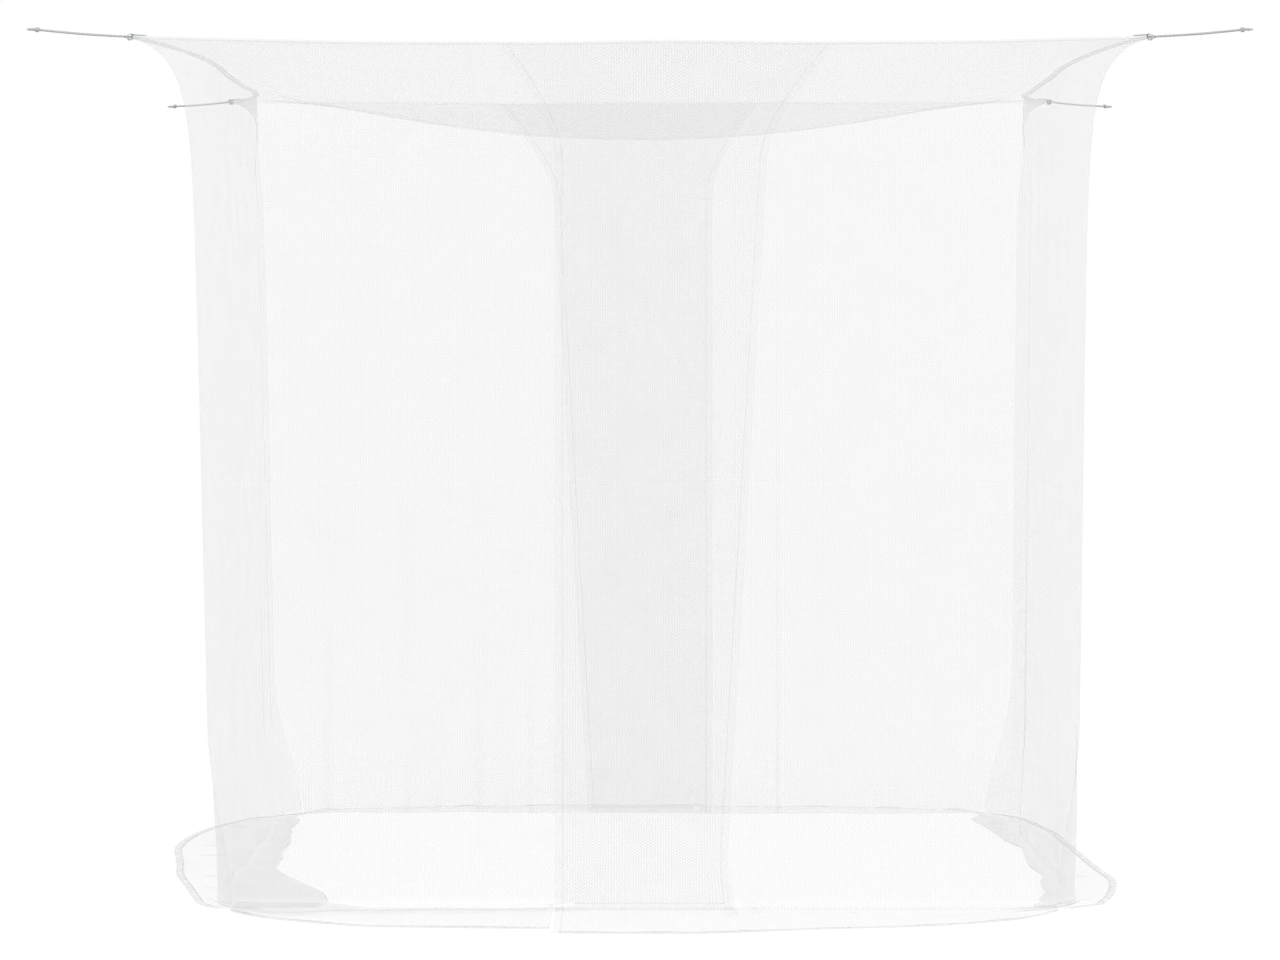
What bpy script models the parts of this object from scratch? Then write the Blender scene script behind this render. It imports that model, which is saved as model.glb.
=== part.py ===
"""A hanging mosquito net: a box of fine white mesh, hung by its four roof corners on cords.

The roof is one sagging panel. Each long side of the box, front and back, is closed by two
curtains that overlap in the middle. A curtain is sewn along the roof and at its corner, so it
opens the way cloth does, by folding back along a slanting line from its free edge down to the
floor. The part below that line is the flap. The walls end in a skirt that lies on the floor.

Heights are measured from the floor. The origin is the middle of the four hanging points, at the
height of the cords, so the floor lies HANG_HEIGHT below it. All sizes are in metres.
"""

import math

import bmesh
import bpy
from mathutils import Matrix, Vector

# Overall sizes
HANG_HEIGHT = 1.920
TIP_X = 1.105
TIP_Y = 0.995
EDGE_DROP = 0.008
ROOF_SAG = 0.150

# How far each wall hangs from the middle, at the roof seam and at the floor
WALL_TOP = {"front": 0.950, "back": 0.930, "left": 0.985, "right": 0.985}
WALL_FOOT = {"front": 0.950, "back": 0.862, "left": 0.945, "right": 0.965}

# The corners are drawn out into ears at the top and are rounded at the floor
EAR_FALL = 0.055
EAR_POWER = 0.75
EAR_START = 0.35
LIFT_FALL = 0.300
CORNER_TUCK = 0.040
TUCK_HEIGHT = 0.400
TUCK_START = 0.88

# Cloth, tapes and hems
CLOTH = 0.001
TAPE_WIDE = 0.016
TAPE_HIGH = 0.008
HEM_WIDE = 0.018
HEM_THICK = 0.002
SEAM_GAP = 0.0003
SKIRT_SEAM = 0.0007
CORNER_GAP = 0.0012
LAYER_GAP = 0.010

# The slanting fold line of each curtain
FOLD_GAP = 0.0004
HEM_SPLIT = 0.004
SKIRT_SLANT = 1.5
SKIRT_SPLIT = 0.006

# The skirt on the floor
SKIRT_WIDE = {"front": 0.262, "back": 0.150, "left": 0.194, "right": 0.127}
SKIRT_SKEW = {"front": 0.0, "back": 0.0, "left": -0.66, "right": -0.25}
SKIRT_CORNER = 0.035
LAP_HALF = 0.100
LAP_FADE = 0.350
SKIRT_RIPPLE = 0.008
RIPPLE_LENGTH = 0.190
BEND = 0.008
BEND_STEPS = 3
FLOOR_ROWS = 3

# Corner loops, hitches, cords and hanging eyes
RIBBON_WIDE = 0.008
RIBBON_THICK = 0.001
LOOP_RADIUS = 0.007
LOOP_REACH = 0.015
LOOP_SEWN = 0.034
HITCH_RADIUS = 0.007
HITCH_TUBE = 0.0025
CORD_THICK = 0.005
CORD_LENGTH = 0.224
EYE_RADIUS = 0.0095
EYE_TUBE = 0.0022
KNOT_RADIUS = 0.0055

# Seen from outside, each side runs from its left corner to its right corner
SIDES = {
    "front": {"out": Vector((0, -1, 0)), "right": Vector((1, 0, 0)), "before": "left", "after": "right"},
    "right": {"out": Vector((1, 0, 0)), "right": Vector((0, 1, 0)), "before": "front", "after": "back"},
    "back": {"out": Vector((0, 1, 0)), "right": Vector((-1, 0, 0)), "before": "right", "after": "left"},
    "left": {"out": Vector((-1, 0, 0)), "right": Vector((0, -1, 0)), "before": "back", "after": "front"},
}
TIP = {"front": TIP_Y, "back": TIP_Y, "left": TIP_X, "right": TIP_X}

# Soft folds that grow towards the floor: place along the side, half width, depth, height of start
FOLDS = {
    "front": [(-0.60, 0.100, 0.012, 0.60)],
    "back": [(0.48, 0.080, 0.016, 0.90), (0.24, 0.070, 0.012, 0.70), (-0.50, 0.090, 0.014, 1.10)],
    "left": [(-0.50, 0.120, 0.016, 0.90), (0.36, 0.120, 0.014, 0.75)],
    "right": [(-0.45, 0.120, 0.014, 0.80), (0.42, 0.120, 0.016, 0.95)],
}

# Each curtain hangs from one corner of its side. Hand is 1 where that is the right-hand corner,
# seen from outside, and -1 where it is the left-hand one. Free_foot is how far the free edge laps
# past the middle at the floor, lean what it gains a metre up, and flare what it gains at the roof.
CURTAINS = {
    "front_right": {
        "side": "front", "hand": 1, "layer": 1, "free_foot": 0.187, "lean": 0.0, "flare": 0.121,
        "fold_foot": 0.800, "lap_skirt": 0.060,
    },
    "front_left": {
        "side": "front", "hand": -1, "layer": -1, "free_foot": 0.187, "lean": 0.056, "flare": 0.133,
        "fold_foot": 0.150, "lap_skirt": 0.0,
    },
    "back_left": {
        "side": "back", "hand": 1, "layer": 1, "free_foot": 0.195, "lean": 0.0, "flare": 0.121,
        "fold_foot": 0.740, "lap_skirt": 0.030,
    },
    "back_right": {
        "side": "back", "hand": -1, "layer": -1, "free_foot": 0.140, "lean": 0.056, "flare": 0.133,
        "fold_foot": 0.150, "lap_skirt": 0.0,
    },
}
FLARE_POWER = 1.5
FLARE_HEIGHT = 0.237
FOLD_BELOW_FLARE = 0.0102
FLAT_BAND = 0.030
FOLD_BAND = 0.120

# Heights of the cloth's rows: close together under the roof, where the ears curve most
SEAM_HEIGHT = HANG_HEIGHT - EDGE_DROP - TAPE_HIGH / 2 - SEAM_GAP - CLOTH / 2
FOLD_TOP = SEAM_HEIGHT - FLARE_HEIGHT - FOLD_BELOW_FLARE
ROW_DROPS = (0.0, 0.006, 0.018, 0.040, 0.075, 0.130, 0.210)
LOWER_ROWS = 6
WALL_COLUMNS = 12
PANEL_COLUMNS = 9
FLAP_ROWS = 7
FLAP_COLUMNS = 9
ROOF_COLUMNS = 12

CORNERS = {
    "front_left": (-1, -1),
    "front_right": (1, -1),
    "back_left": (-1, 1),
    "back_right": (1, 1),
}


def smooth(t):
    t = min(1.0, max(0.0, t))
    return t * t * (3 - 2 * t)


def mix(a, b, t):
    return a + (b - a) * t


# Scene, collections and materials
def clear_scene():
    for obj in list(bpy.data.objects):
        bpy.data.objects.remove(obj, do_unlink=True)


def new_collection(name):
    made = bpy.data.collections.new(name)
    bpy.context.scene.collection.children.link(made)
    return made


def new_material(name, color, roughness, alpha=1.0):
    made = bpy.data.materials.new(name)
    made.use_nodes = True
    shader = made.node_tree.nodes["Principled BSDF"]
    shader.inputs["Base Color"].default_value = (*color, 1.0)
    shader.inputs["Roughness"].default_value = roughness
    shader.inputs["Metallic"].default_value = 0.0
    shader.inputs["Alpha"].default_value = alpha
    return made


clear_scene()
NET = new_collection("hanging_mosquito_net")
HELPERS = new_collection("cutters")
MESH_CLOTH = new_material("white_polyester_mesh", (0.86, 0.87, 0.87), 0.80, alpha=0.35)
HEM_TAPE = new_material("white_hem_tape", (0.80, 0.81, 0.81), 0.75)
CORD_WHITE = new_material("white_braided_cord", (0.70, 0.71, 0.71), 0.65)


# Shape of the hanging cloth
def plane_distance(side, height):
    """How far the flat middle of a wall hangs from the centre of the net."""
    return mix(WALL_FOOT[side], WALL_TOP[side], height / SEAM_HEIGHT)


def ear(side, height):
    """How much further out the corners are than the middle, where the cords draw them."""
    drop = max(0.0, SEAM_HEIGHT - height)
    return (TIP[side] - WALL_TOP[side]) * math.exp(-((drop / EAR_FALL) ** EAR_POWER))


def tuck(height):
    """How much nearer the corners are than the middle, low down, where the cloth rounds them."""
    return CORNER_TUCK * (1 - smooth(height / TUCK_HEIGHT))


def corner_distance(side, height):
    return plane_distance(side, height) + ear(side, height) - tuck(height)


def reach(side, s, height):
    """Where a place along a side lies between its two corners, from -1 to 1."""
    low = -corner_distance(SIDES[side]["before"], height)
    high = corner_distance(SIDES[side]["after"], height)
    return 2 * (s - low) / (high - low) - 1


def ear_weight(a):
    return (max(0.0, abs(a) - EAR_START) / (1 - EAR_START)) ** 2


def tuck_weight(a):
    return (max(0.0, abs(a) - TUCK_START) / (1 - TUCK_START)) ** 2


def fold_flatness(side, s, height):
    """0 beside a slanting fold line, where the cloth has to be flat, and 1 away from it."""
    flat = 1.0
    for curtain in CURTAINS.values():
        if curtain["side"] == side:
            away = abs(curtain["hand"] * s - fold_line(curtain, height))
            flat *= smooth((away - FLAT_BAND) / FOLD_BAND)
    return flat


def soft_folds(side, s, height):
    depth = 0.0
    for place, half_width, most, start in FOLDS[side]:
        grown = max(0.0, 1 - height / start)
        depth += most * grown * math.exp(-(((s - place) / half_width) ** 2))
    return depth * fold_flatness(side, s, height)


def wall_distance(side, s, height, layer=0.0):
    a = reach(side, s, height)
    near_corner = smooth((abs(a) - TUCK_START) / (1 - TUCK_START))
    return (
        plane_distance(side, height)
        + ear(side, height) * ear_weight(a)
        - tuck(height) * tuck_weight(a)
        + layer * (1 - near_corner)
        + soft_folds(side, s, height) * (1 - near_corner)
    )


def place_on(side, s, distance, height):
    frame = SIDES[side]
    return frame["right"] * s + frame["out"] * distance + Vector((0, 0, height - HANG_HEIGHT))


def wall_point(side, s, height, layer=0.0):
    """A point of a wall's mid-surface. Near the roof it follows the edge up into the ears."""
    near_roof = max(0.0, 1 - (SEAM_HEIGHT - height) / LIFT_FALL)
    lift = EDGE_DROP * ear_weight(reach(side, s, height)) * near_roof
    return place_on(side, s, wall_distance(side, s, height, layer), height + lift)


def skirt_width(side, s, lap=0.0):
    """The skirt narrows to both corners, and its skew makes it wider towards one of them."""
    a = reach(side, s, 0.0)
    wide = mix(SKIRT_CORNER, SKIRT_WIDE[side] * (1 + SKIRT_SKEW[side] * a), 1 - a**4)
    return wide + lap * (1 - smooth((abs(s) - LAP_HALF) / LAP_FADE))


def split_flatness(side, s, out):
    """0 beside the slanting end of a flap's skirt, which has to clear the panel's, and 1 away from it."""
    flat = 1.0
    for curtain in CURTAINS.values():
        if curtain["side"] == side and curtain["layer"] == 1:
            away = abs(curtain["hand"] * s - split_line(curtain, 0.0, out))
            flat *= smooth((away - FLAT_BAND) / FOLD_BAND)
    return flat


def ripple(side, s, out, share):
    """How far the flat part of a skirt stands off the floor, at a share of its width."""
    wave = 0.5 - 0.5 * math.cos(2 * math.pi * s / RIPPLE_LENGTH)
    rise = SKIRT_RIPPLE * wave * max(0.0, 4 * share * (1 - share)) ** 1.5
    return rise * split_flatness(side, s, out)


# Curtains, in q: how far along the side, from the middle towards the curtain's own corner
def layer_of(curtain):
    return curtain["layer"] * LAYER_GAP / 2


def free_edge(curtain, height):
    rise = max(0.0, 1 - (SEAM_HEIGHT - height) / FLARE_HEIGHT)
    lap = curtain["free_foot"] + curtain["lean"] * height + curtain["flare"] * rise**FLARE_POWER
    return -lap


def cloth_edge(curtain, height):
    return free_edge(curtain, height) + HEM_WIDE + SEAM_GAP


def fold_line(curtain, height):
    return mix(curtain["fold_foot"], cloth_edge(curtain, FOLD_TOP), height / FOLD_TOP)


def split_line(curtain, height, out):
    """The line between panel and flap, which slants over the floor past the foot of the wall."""
    line = fold_line(curtain, height)
    if curtain["layer"] == 1:
        return line - SKIRT_SLANT * out
    partner = next(c for c in CURTAINS.values() if c["side"] == curtain["side"] and c is not curtain)
    beside = -free_edge(partner, 0.0) + SKIRT_SPLIT
    return mix(line, beside, min(1.0, out / BEND))


def split_gap(out):
    return mix(FOLD_GAP, SKIRT_SPLIT, min(1.0, out / BEND)) / 2


def own_corner(curtain, height):
    side = SIDES[curtain["side"]]
    return corner_distance(side["after" if curtain["hand"] == 1 else "before"], height)


def fold_axis(curtain):
    """Two points of the fold line, on the face towards which the flap folds, and its direction."""
    layer = layer_of(curtain) + curtain["layer"] * CLOTH / 2
    ends = [
        wall_point(curtain["side"], curtain["hand"] * fold_line(curtain, height), height, layer)
        for height in (FOLD_TOP, 0.0)
    ]
    return ends[0], ends[1]


# Building blocks
def finish(obj, material, round_shading=False):
    obj.data.materials.clear()
    obj.data.materials.append(material)
    for holder in list(obj.users_collection):
        holder.objects.unlink(obj)
    NET.objects.link(obj)
    if round_shading:
        obj.data.shade_smooth()
    return obj


def sheet(name, columns, rows, place, thick, material):
    """A grid whose points are put in place by a function of column and row, given a thickness."""
    bm = bmesh.new()
    bmesh.ops.create_grid(bm, x_segments=columns, y_segments=rows, size=0.5)
    for vertex in bm.verts:
        column = round((vertex.co.x + 0.5) * columns)
        row = round((vertex.co.y + 0.5) * rows)
        vertex.co = place(column / columns, row)
    mesh = bpy.data.meshes.new(name)
    bm.to_mesh(mesh)
    bm.free()
    obj = bpy.data.objects.new(name, mesh)
    NET.objects.link(obj)
    wall = obj.modifiers.new("thickness", "SOLIDIFY")
    wall.thickness = thick
    wall.offset = 0.0
    mesh.materials.append(material)
    return obj


def spread(low, high, count):
    return [mix(low, high, i / count) for i in range(count + 1)]


def wall_rows(*extra):
    upper = [SEAM_HEIGHT - drop for drop in ROW_DROPS]
    lower = spread(upper[-1], BEND + CLOTH / 2, LOWER_ROWS)[1:]
    return sorted({round(h, 6) for h in upper + lower + list(extra)}, reverse=True)


def carry(name, point, direction, pieces):
    """An empty on a joint's axis, which carries the pieces that turn about it."""
    pivot = bpy.data.objects.new(name, None)
    pivot.empty_display_type = "SINGLE_ARROW"
    pivot.empty_display_size = 0.1
    turn = direction.normalized().to_track_quat("Z", "Y")
    pivot.matrix_world = Matrix.Translation(point) @ turn.to_matrix().to_4x4()
    NET.objects.link(pivot)
    bpy.context.view_layer.update()
    for piece in pieces:
        piece.parent = pivot
        piece.matrix_parent_inverse = pivot.matrix_world.inverted()
    return pivot


# Rows of a hanging cloth: down the wall, round the bend at its foot, then out over the floor
def bend_rows():
    angles = [math.radians(90 * step / BEND_STEPS) for step in range(1, BEND_STEPS + 1)]
    return [(CLOTH / 2 + BEND * (1 - math.sin(a)), BEND * (1 - math.cos(a)), 0.0) for a in angles]


def full_rows(heights):
    """(height, distance out, share of the flat skirt) of each row."""
    wall = [(height, 0.0, 0.0) for height in heights]
    flat = [(CLOTH / 2, BEND, share) for share in spread(0.0, 1.0, FLOOR_ROWS)[1:]]
    return wall + bend_rows() + flat


def settle(low, high, u, out_at):
    """A place along a row whose ends and distance out depend on each other."""
    out = out_at(0.0)
    for _ in range(6):
        s = mix(low(out), high(out), u)
        out = out_at(s)
    return s, out


def cloth_place(side, row, low, high, u, layer, lap, short=HEM_WIDE + SKIRT_SEAM):
    """A point of a cloth whose row runs from low to high, which depend on height and distance out.

    Short is how far the cloth ends from the skirt's outer edge."""
    height, bend_out, share = row

    def out_at(s):
        return mix(bend_out, skirt_width(side, s, lap) - short, share)

    s, out = settle(lambda o: low(height, o), lambda o: high(height, o), u, out_at)
    point = wall_point(side, s, height, layer) + SIDES[side]["out"] * out
    return point + Vector((0, 0, ripple(side, s, out, share)))


def make_bottom_hem(name, side, low, high, columns, layer=0.0, lap=0.0):
    """The flat hem along the outer edge of a skirt."""

    def on_hem(u, row):
        def out_at(s):
            return skirt_width(side, s, lap) - HEM_WIDE * (1 - row)

        s, out = settle(lambda o: low(0.0, o), lambda o: high(0.0, o), u, out_at)
        return place_on(side, s, wall_distance(side, s, 0.0, layer) + out, HEM_THICK / 2)

    return sheet(name, columns, 1, on_hem, HEM_THICK, HEM_TAPE)


# Side walls
def make_side_wall(side):
    rows = full_rows(wall_rows())

    def low(height, out):
        return -corner_distance(SIDES[side]["before"], height) + CORNER_GAP

    def high(height, out):
        return corner_distance(SIDES[side]["after"], height) - CORNER_GAP

    def on_wall(u, row):
        return cloth_place(side, rows[row], low, high, u, 0.0, 0.0)

    sheet(f"{side}_wall", WALL_COLUMNS, len(rows) - 1, on_wall, CLOTH, MESH_CLOTH)
    make_bottom_hem(f"{side}_wall_bottom_hem", side, low, high, WALL_COLUMNS)


# Curtains
def make_curtain_cloth(name, curtain, rows, low, high, columns):
    """A cloth whose ends are given in q, measured towards the curtain's own corner."""
    side, hand, layer = curtain["side"], curtain["hand"], layer_of(curtain)

    def on_cloth(u, row):
        return cloth_place(
            side, rows[row], lambda h, o: hand * low(h, o), lambda h, o: hand * high(h, o), u,
            layer, curtain["lap_skirt"],
        )

    return sheet(name, columns, len(rows) - 1, on_cloth, CLOTH, MESH_CLOTH)


def make_edge_hem(name, curtain, rows):
    """The hem down a curtain's free edge."""
    side, hand, layer = curtain["side"], curtain["hand"], layer_of(curtain)

    def on_hem(u, row):
        def low(height, out):
            return hand * (free_edge(curtain, height) + HEM_WIDE * row)

        here = rows[round(u * (len(rows) - 1))]
        point = cloth_place(side, here, low, low, 0.0, layer, curtain["lap_skirt"], 0.0)
        return point + Vector((0, 0, (HEM_THICK - CLOTH) / 2 if here[1] else 0.0))

    return sheet(name, len(rows) - 1, 1, on_hem, HEM_THICK, HEM_TAPE)


def make_tucked_hem(name, curtain):
    """The bottom hem of an inner flap, which hangs just to the floor with no skirt."""
    side, hand, layer = curtain["side"], curtain["hand"], layer_of(curtain)

    def on_hem(u, row):
        height = HEM_WIDE * row
        high = fold_line(curtain, height) - HEM_SPLIT
        return wall_point(side, hand * mix(cloth_edge(curtain, height), high, u), height, layer)

    return sheet(name, 4, 1, on_hem, HEM_THICK, HEM_TAPE)


def make_curtain(name, curtain):
    side, hand, layer = curtain["side"], curtain["hand"], layer_of(curtain)
    outer = curtain["layer"] == 1

    def edge(height, out):
        return cloth_edge(curtain, height)

    def panel_low(height, out):
        """Down the free edge, then along the fold line, then slanting over the floor."""
        if height > FOLD_TOP - 1e-6:
            return cloth_edge(curtain, height) + FOLD_GAP / 2
        return split_line(curtain, height, out) + split_gap(out)

    def flap_high(height, out):
        return split_line(curtain, height, out) - split_gap(out)

    def corner(height, out):
        return own_corner(curtain, height) - CORNER_GAP

    panel_rows = full_rows(wall_rows(FOLD_TOP))
    make_curtain_cloth(f"{name}_panel", curtain, panel_rows, panel_low, corner, PANEL_COLUMNS)
    make_bottom_hem(
        f"{name}_panel_bottom_hem", side, lambda h, o: hand * panel_low(h, o),
        lambda h, o: hand * corner(h, o), PANEL_COLUMNS, layer, curtain["lap_skirt"],
    )
    upper = [height for height in wall_rows() if height > FOLD_TOP] + [FOLD_TOP + HEM_SPLIT / 2]
    make_edge_hem(f"{name}_upper_edge_hem", curtain, [(height, 0.0, 0.0) for height in upper])

    heights = spread(FOLD_TOP - 3 * HEM_SPLIT, BEND + CLOTH / 2, FLAP_ROWS)
    hem_heights = [FOLD_TOP - HEM_SPLIT / 2] + heights[1:]
    if outer:
        rows, hem_rows = full_rows(heights), full_rows(hem_heights)
        moving = [
            make_bottom_hem(
                f"{name}_flap_bottom_hem", side, lambda h, o: hand * edge(h, o),
                lambda h, o: hand * flap_high(h, o), FLAP_COLUMNS, layer, curtain["lap_skirt"],
            )
        ]
    else:
        heights[-1], hem_heights[-1] = HEM_WIDE + SEAM_GAP, 0.0
        rows, hem_rows = [[(h, 0.0, 0.0) for h in group] for group in (heights, hem_heights)]
        moving = [make_tucked_hem(f"{name}_flap_bottom_hem", curtain)]
    moving.append(make_curtain_cloth(f"{name}_flap", curtain, rows, edge, flap_high, FLAP_COLUMNS))
    moving.append(make_edge_hem(f"{name}_flap_edge_hem", curtain, hem_rows))
    top, foot = fold_axis(curtain)
    carry(f"{name}_fold_line", top, foot - top, moving)


# Roof
def seam_line(side, s):
    """Distance out and height of the roof seam, at a place along a side."""
    weight = ear_weight(reach(side, s, SEAM_HEIGHT))
    distance = plane_distance(side, SEAM_HEIGHT) + ear(side, SEAM_HEIGHT) * weight
    return distance, HANG_HEIGHT - EDGE_DROP * (1 - weight)


def roof_inset():
    return TAPE_WIDE / 2 + SEAM_GAP + 0.0002


def roof_corner():
    """Where the roof panel's corner lies, inside both of its tapes."""
    x, y = TIP_X, TIP_Y
    for _ in range(8):
        x = seam_line("right", y)[0] - roof_inset()
        y = seam_line("front", x)[0] - roof_inset()
    return x, y


def make_roof():
    corner_x, corner_y = roof_corner()

    def on_roof(u, row):
        a, b = 2 * u - 1, 2 * row / ROOF_COLUMNS - 1
        side_x = ("right", b * corner_y) if a > 0 else ("left", -b * corner_y)
        side_y = ("back", -a * corner_x) if b > 0 else ("front", a * corner_x)
        x = a * (seam_line(*side_x)[0] - roof_inset())
        y = b * (seam_line(*side_y)[0] - roof_inset())
        edge = -EDGE_DROP * (1 - ear_weight(a) * ear_weight(b))
        return Vector((x, y, edge - ROOF_SAG * (1 - a * a) * (1 - b * b)))

    sheet("roof_panel", ROOF_COLUMNS, ROOF_COLUMNS, on_roof, CLOTH, MESH_CLOTH)


def make_roof_tape(side):
    """The bound seam along one edge of the roof, from which a side hangs."""
    short = TAPE_WIDE / 2 + 0.003
    low = -corner_distance(SIDES[side]["before"], SEAM_HEIGHT) + short
    high = corner_distance(SIDES[side]["after"], SEAM_HEIGHT) - short

    def on_tape(u, row):
        s = mix(low, high, u)
        distance, height = seam_line(side, s)
        return place_on(side, s, distance + TAPE_WIDE * (row - 0.5), height)

    sheet(f"{side}_roof_tape", ROOF_COLUMNS, 1, on_tape, TAPE_HIGH, HEM_TAPE)


# Cords and their fittings, in d: how far out from a corner's tip along its diagonal
def corner_frame(corner):
    """The corner's tip, its outward diagonal, and the level direction square to that."""
    x, y = CORNERS[corner]
    out = Vector((x, y, 0)).normalized()
    return Vector((x * TIP_X, y * TIP_Y, 0)), out, out.cross(Vector((0, 0, 1)))


def loop_route():
    """Height over the tip against d, along a ribbon folded into a loop with both ends sewn down."""
    under = TAPE_HIGH / 2 + SEAM_GAP + RIBBON_THICK / 2
    over = under + RIBBON_THICK + SEAM_GAP
    middle = LOOP_REACH - LOOP_RADIUS
    route = [(-LOOP_SEWN, under), (-0.5 * LOOP_SEWN, under), (0.0, under)]
    route += [(0.15 * middle, 0.5 * LOOP_RADIUS), (0.30 * middle, 0.0), (0.5 * middle, -0.64 * LOOP_RADIUS)]
    for step in range(9):
        angle = math.radians(-90 + 180 * step / 8)
        route.append((middle + LOOP_RADIUS * math.cos(angle), LOOP_RADIUS * math.sin(angle)))
    route += [(0.44 * middle, over), (-0.5 * LOOP_SEWN, over), (-LOOP_SEWN, over)]
    return route


def make_corner_loop(corner):
    tip, out, across = corner_frame(corner)
    route = loop_route()

    def on_ribbon(u, row):
        d, height = route[round(u * (len(route) - 1))]
        return tip + out * d + across * RIBBON_WIDE * (row - 0.5) + Vector((0, 0, height))

    sheet(f"{corner}_corner_loop", len(route) - 1, 1, on_ribbon, RIBBON_THICK, HEM_TAPE)


def make_hitch(corner):
    """The cord's own hitch, a ring round the end of the ribbon loop."""
    tip, out, _ = corner_frame(corner)
    bpy.ops.mesh.primitive_torus_add(
        major_radius=HITCH_RADIUS, minor_radius=HITCH_TUBE, major_segments=20, minor_segments=8,
        location=tip + out * LOOP_REACH,
    )
    ring = bpy.context.object
    ring.name = f"{corner}_cord_hitch"
    finish(ring, CORD_WHITE, round_shading=True)
    carry(f"{corner}_swivel", tip + out * LOOP_REACH, Vector((0, 0, 1)), [ring])
    return ring


def cord_start():
    return LOOP_REACH + HITCH_RADIUS + HITCH_TUBE + SEAM_GAP


# The cord is drawn taut, so its route is nearly straight: share of its length, and sag
CORD_ROUTE = ((0.0, 0.0), (0.25, -0.0011), (0.5, -0.0016), (0.75, -0.0011), (1.0, 0.0))
CORD_POINTS = 20


def smooth_route(points, count):
    """Points at even steps along a smooth curve through the route's own points."""
    ends = [points[0] * 2 - points[1], *points, points[-1] * 2 - points[-2]]
    made = []
    for i in range(count + 1):
        t = i / count * (len(points) - 1)
        k = min(int(t), len(points) - 2)
        f = t - k
        a, b, c, d = ends[k : k + 4]
        bend = (2 * a - 5 * b + 4 * c - d) * f + (3 * b - a - 3 * c + d) * f * f
        made.append(b + 0.5 * ((c - a) + bend) * f)
    return made


def make_cord(corner):
    tip, out, _ = corner_frame(corner)
    start = tip + out * cord_start()
    route = [start + out * CORD_LENGTH * share + Vector((0, 0, sag)) for share, sag in CORD_ROUTE]
    points = smooth_route(route, CORD_POINTS)
    curve = bpy.data.curves.new(f"{corner}_cord", "CURVE")
    curve.dimensions = "3D"
    curve.bevel_depth = CORD_THICK / 2
    curve.bevel_resolution = 2
    curve.use_fill_caps = True
    line = curve.splines.new("POLY")
    line.points.add(len(points) - 1)
    for target, point in zip(line.points, points):
        target.co = (*point, 1.0)
    cord = bpy.data.objects.new(f"{corner}_cord", curve)
    NET.objects.link(cord)
    curve.materials.append(CORD_WHITE)
    return cord


def make_eye(corner):
    """The small tied eye at the cord's far end, which goes over a hook."""
    tip, out, _ = corner_frame(corner)
    knot_at = tip + out * (cord_start() + CORD_LENGTH + SEAM_GAP + KNOT_RADIUS)
    ring_at = knot_at + out * (KNOT_RADIUS + EYE_RADIUS - EYE_TUBE)
    bpy.ops.mesh.primitive_uv_sphere_add(segments=14, ring_count=8, radius=KNOT_RADIUS, location=knot_at)
    knot = bpy.context.object
    knot.name = f"{corner}_end_knot"
    for holder in list(knot.users_collection):
        holder.objects.unlink(knot)
    HELPERS.objects.link(knot)
    knot.hide_render = True
    knot.display_type = "WIRE"
    bpy.ops.mesh.primitive_torus_add(
        major_radius=EYE_RADIUS, minor_radius=EYE_TUBE, major_segments=20, minor_segments=8,
        location=ring_at, rotation=(0, 0, math.atan2(out.y, out.x)),
    )
    eye = bpy.context.object
    eye.name = f"{corner}_hanging_eye"
    finish(eye, CORD_WHITE, round_shading=True)
    join = eye.modifiers.new("knot", "BOOLEAN")
    join.operation = "UNION"
    join.object = knot
    return eye, ring_at


def make_hanging(corner):
    tip, out, across = corner_frame(corner)
    make_corner_loop(corner)
    ring = make_hitch(corner)
    cord = make_cord(corner)
    eye, ring_at = make_eye(corner)
    lift_pivot = tip + out * (LOOP_REACH + HITCH_RADIUS)
    lift = carry(f"{corner}_cord_swing", lift_pivot, across, [cord, eye])
    lift.parent = ring.parent
    lift.matrix_parent_inverse = ring.parent.matrix_world.inverted()
    return ring_at


make_roof()
for side_name in SIDES:
    make_roof_tape(side_name)
for side_name in ("left", "right"):
    make_side_wall(side_name)
for curtain_name, curtain_sizes in CURTAINS.items():
    make_curtain(curtain_name, curtain_sizes)
    axis_top, axis_foot = fold_axis(curtain_sizes)
    print(curtain_name, "fold line", [round(v, 5) for v in axis_top], [round(v, 5) for v in axis_foot])
for corner_name in CORNERS:
    eye_centre = make_hanging(corner_name)
    print(corner_name, "hanging eye", [round(v, 5) for v in eye_centre])
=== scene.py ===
# %% [markdown]
# # A hanging mosquito net
#
# The net is a box of fine white mesh. Four cords draw its roof corners out level, and the walls
# hang from the roof and end in a skirt on the floor. Front and back are each closed by two
# curtains that overlap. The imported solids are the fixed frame: they say where every cloth, hem
# and cord lies and what turns. This script dresses them.

# %% Load the fixed frame
import math

import bpy
import numpy as np
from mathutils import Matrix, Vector


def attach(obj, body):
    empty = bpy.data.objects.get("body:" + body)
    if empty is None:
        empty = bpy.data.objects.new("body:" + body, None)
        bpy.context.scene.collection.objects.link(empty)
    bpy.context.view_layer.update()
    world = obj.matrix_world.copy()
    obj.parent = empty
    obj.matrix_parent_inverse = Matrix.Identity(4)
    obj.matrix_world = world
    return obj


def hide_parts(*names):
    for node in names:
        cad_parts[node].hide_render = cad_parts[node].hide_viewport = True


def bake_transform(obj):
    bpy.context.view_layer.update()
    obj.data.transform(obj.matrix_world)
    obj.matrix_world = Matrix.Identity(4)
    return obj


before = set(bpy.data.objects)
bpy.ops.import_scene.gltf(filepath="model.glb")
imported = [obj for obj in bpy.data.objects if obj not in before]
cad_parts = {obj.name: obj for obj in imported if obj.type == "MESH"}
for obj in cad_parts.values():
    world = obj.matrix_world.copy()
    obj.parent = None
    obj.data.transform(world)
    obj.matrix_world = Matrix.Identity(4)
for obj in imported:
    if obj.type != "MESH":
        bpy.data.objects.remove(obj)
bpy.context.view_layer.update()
SCENE = bpy.context.scene
print("CAD nodes:", len(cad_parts))

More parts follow.
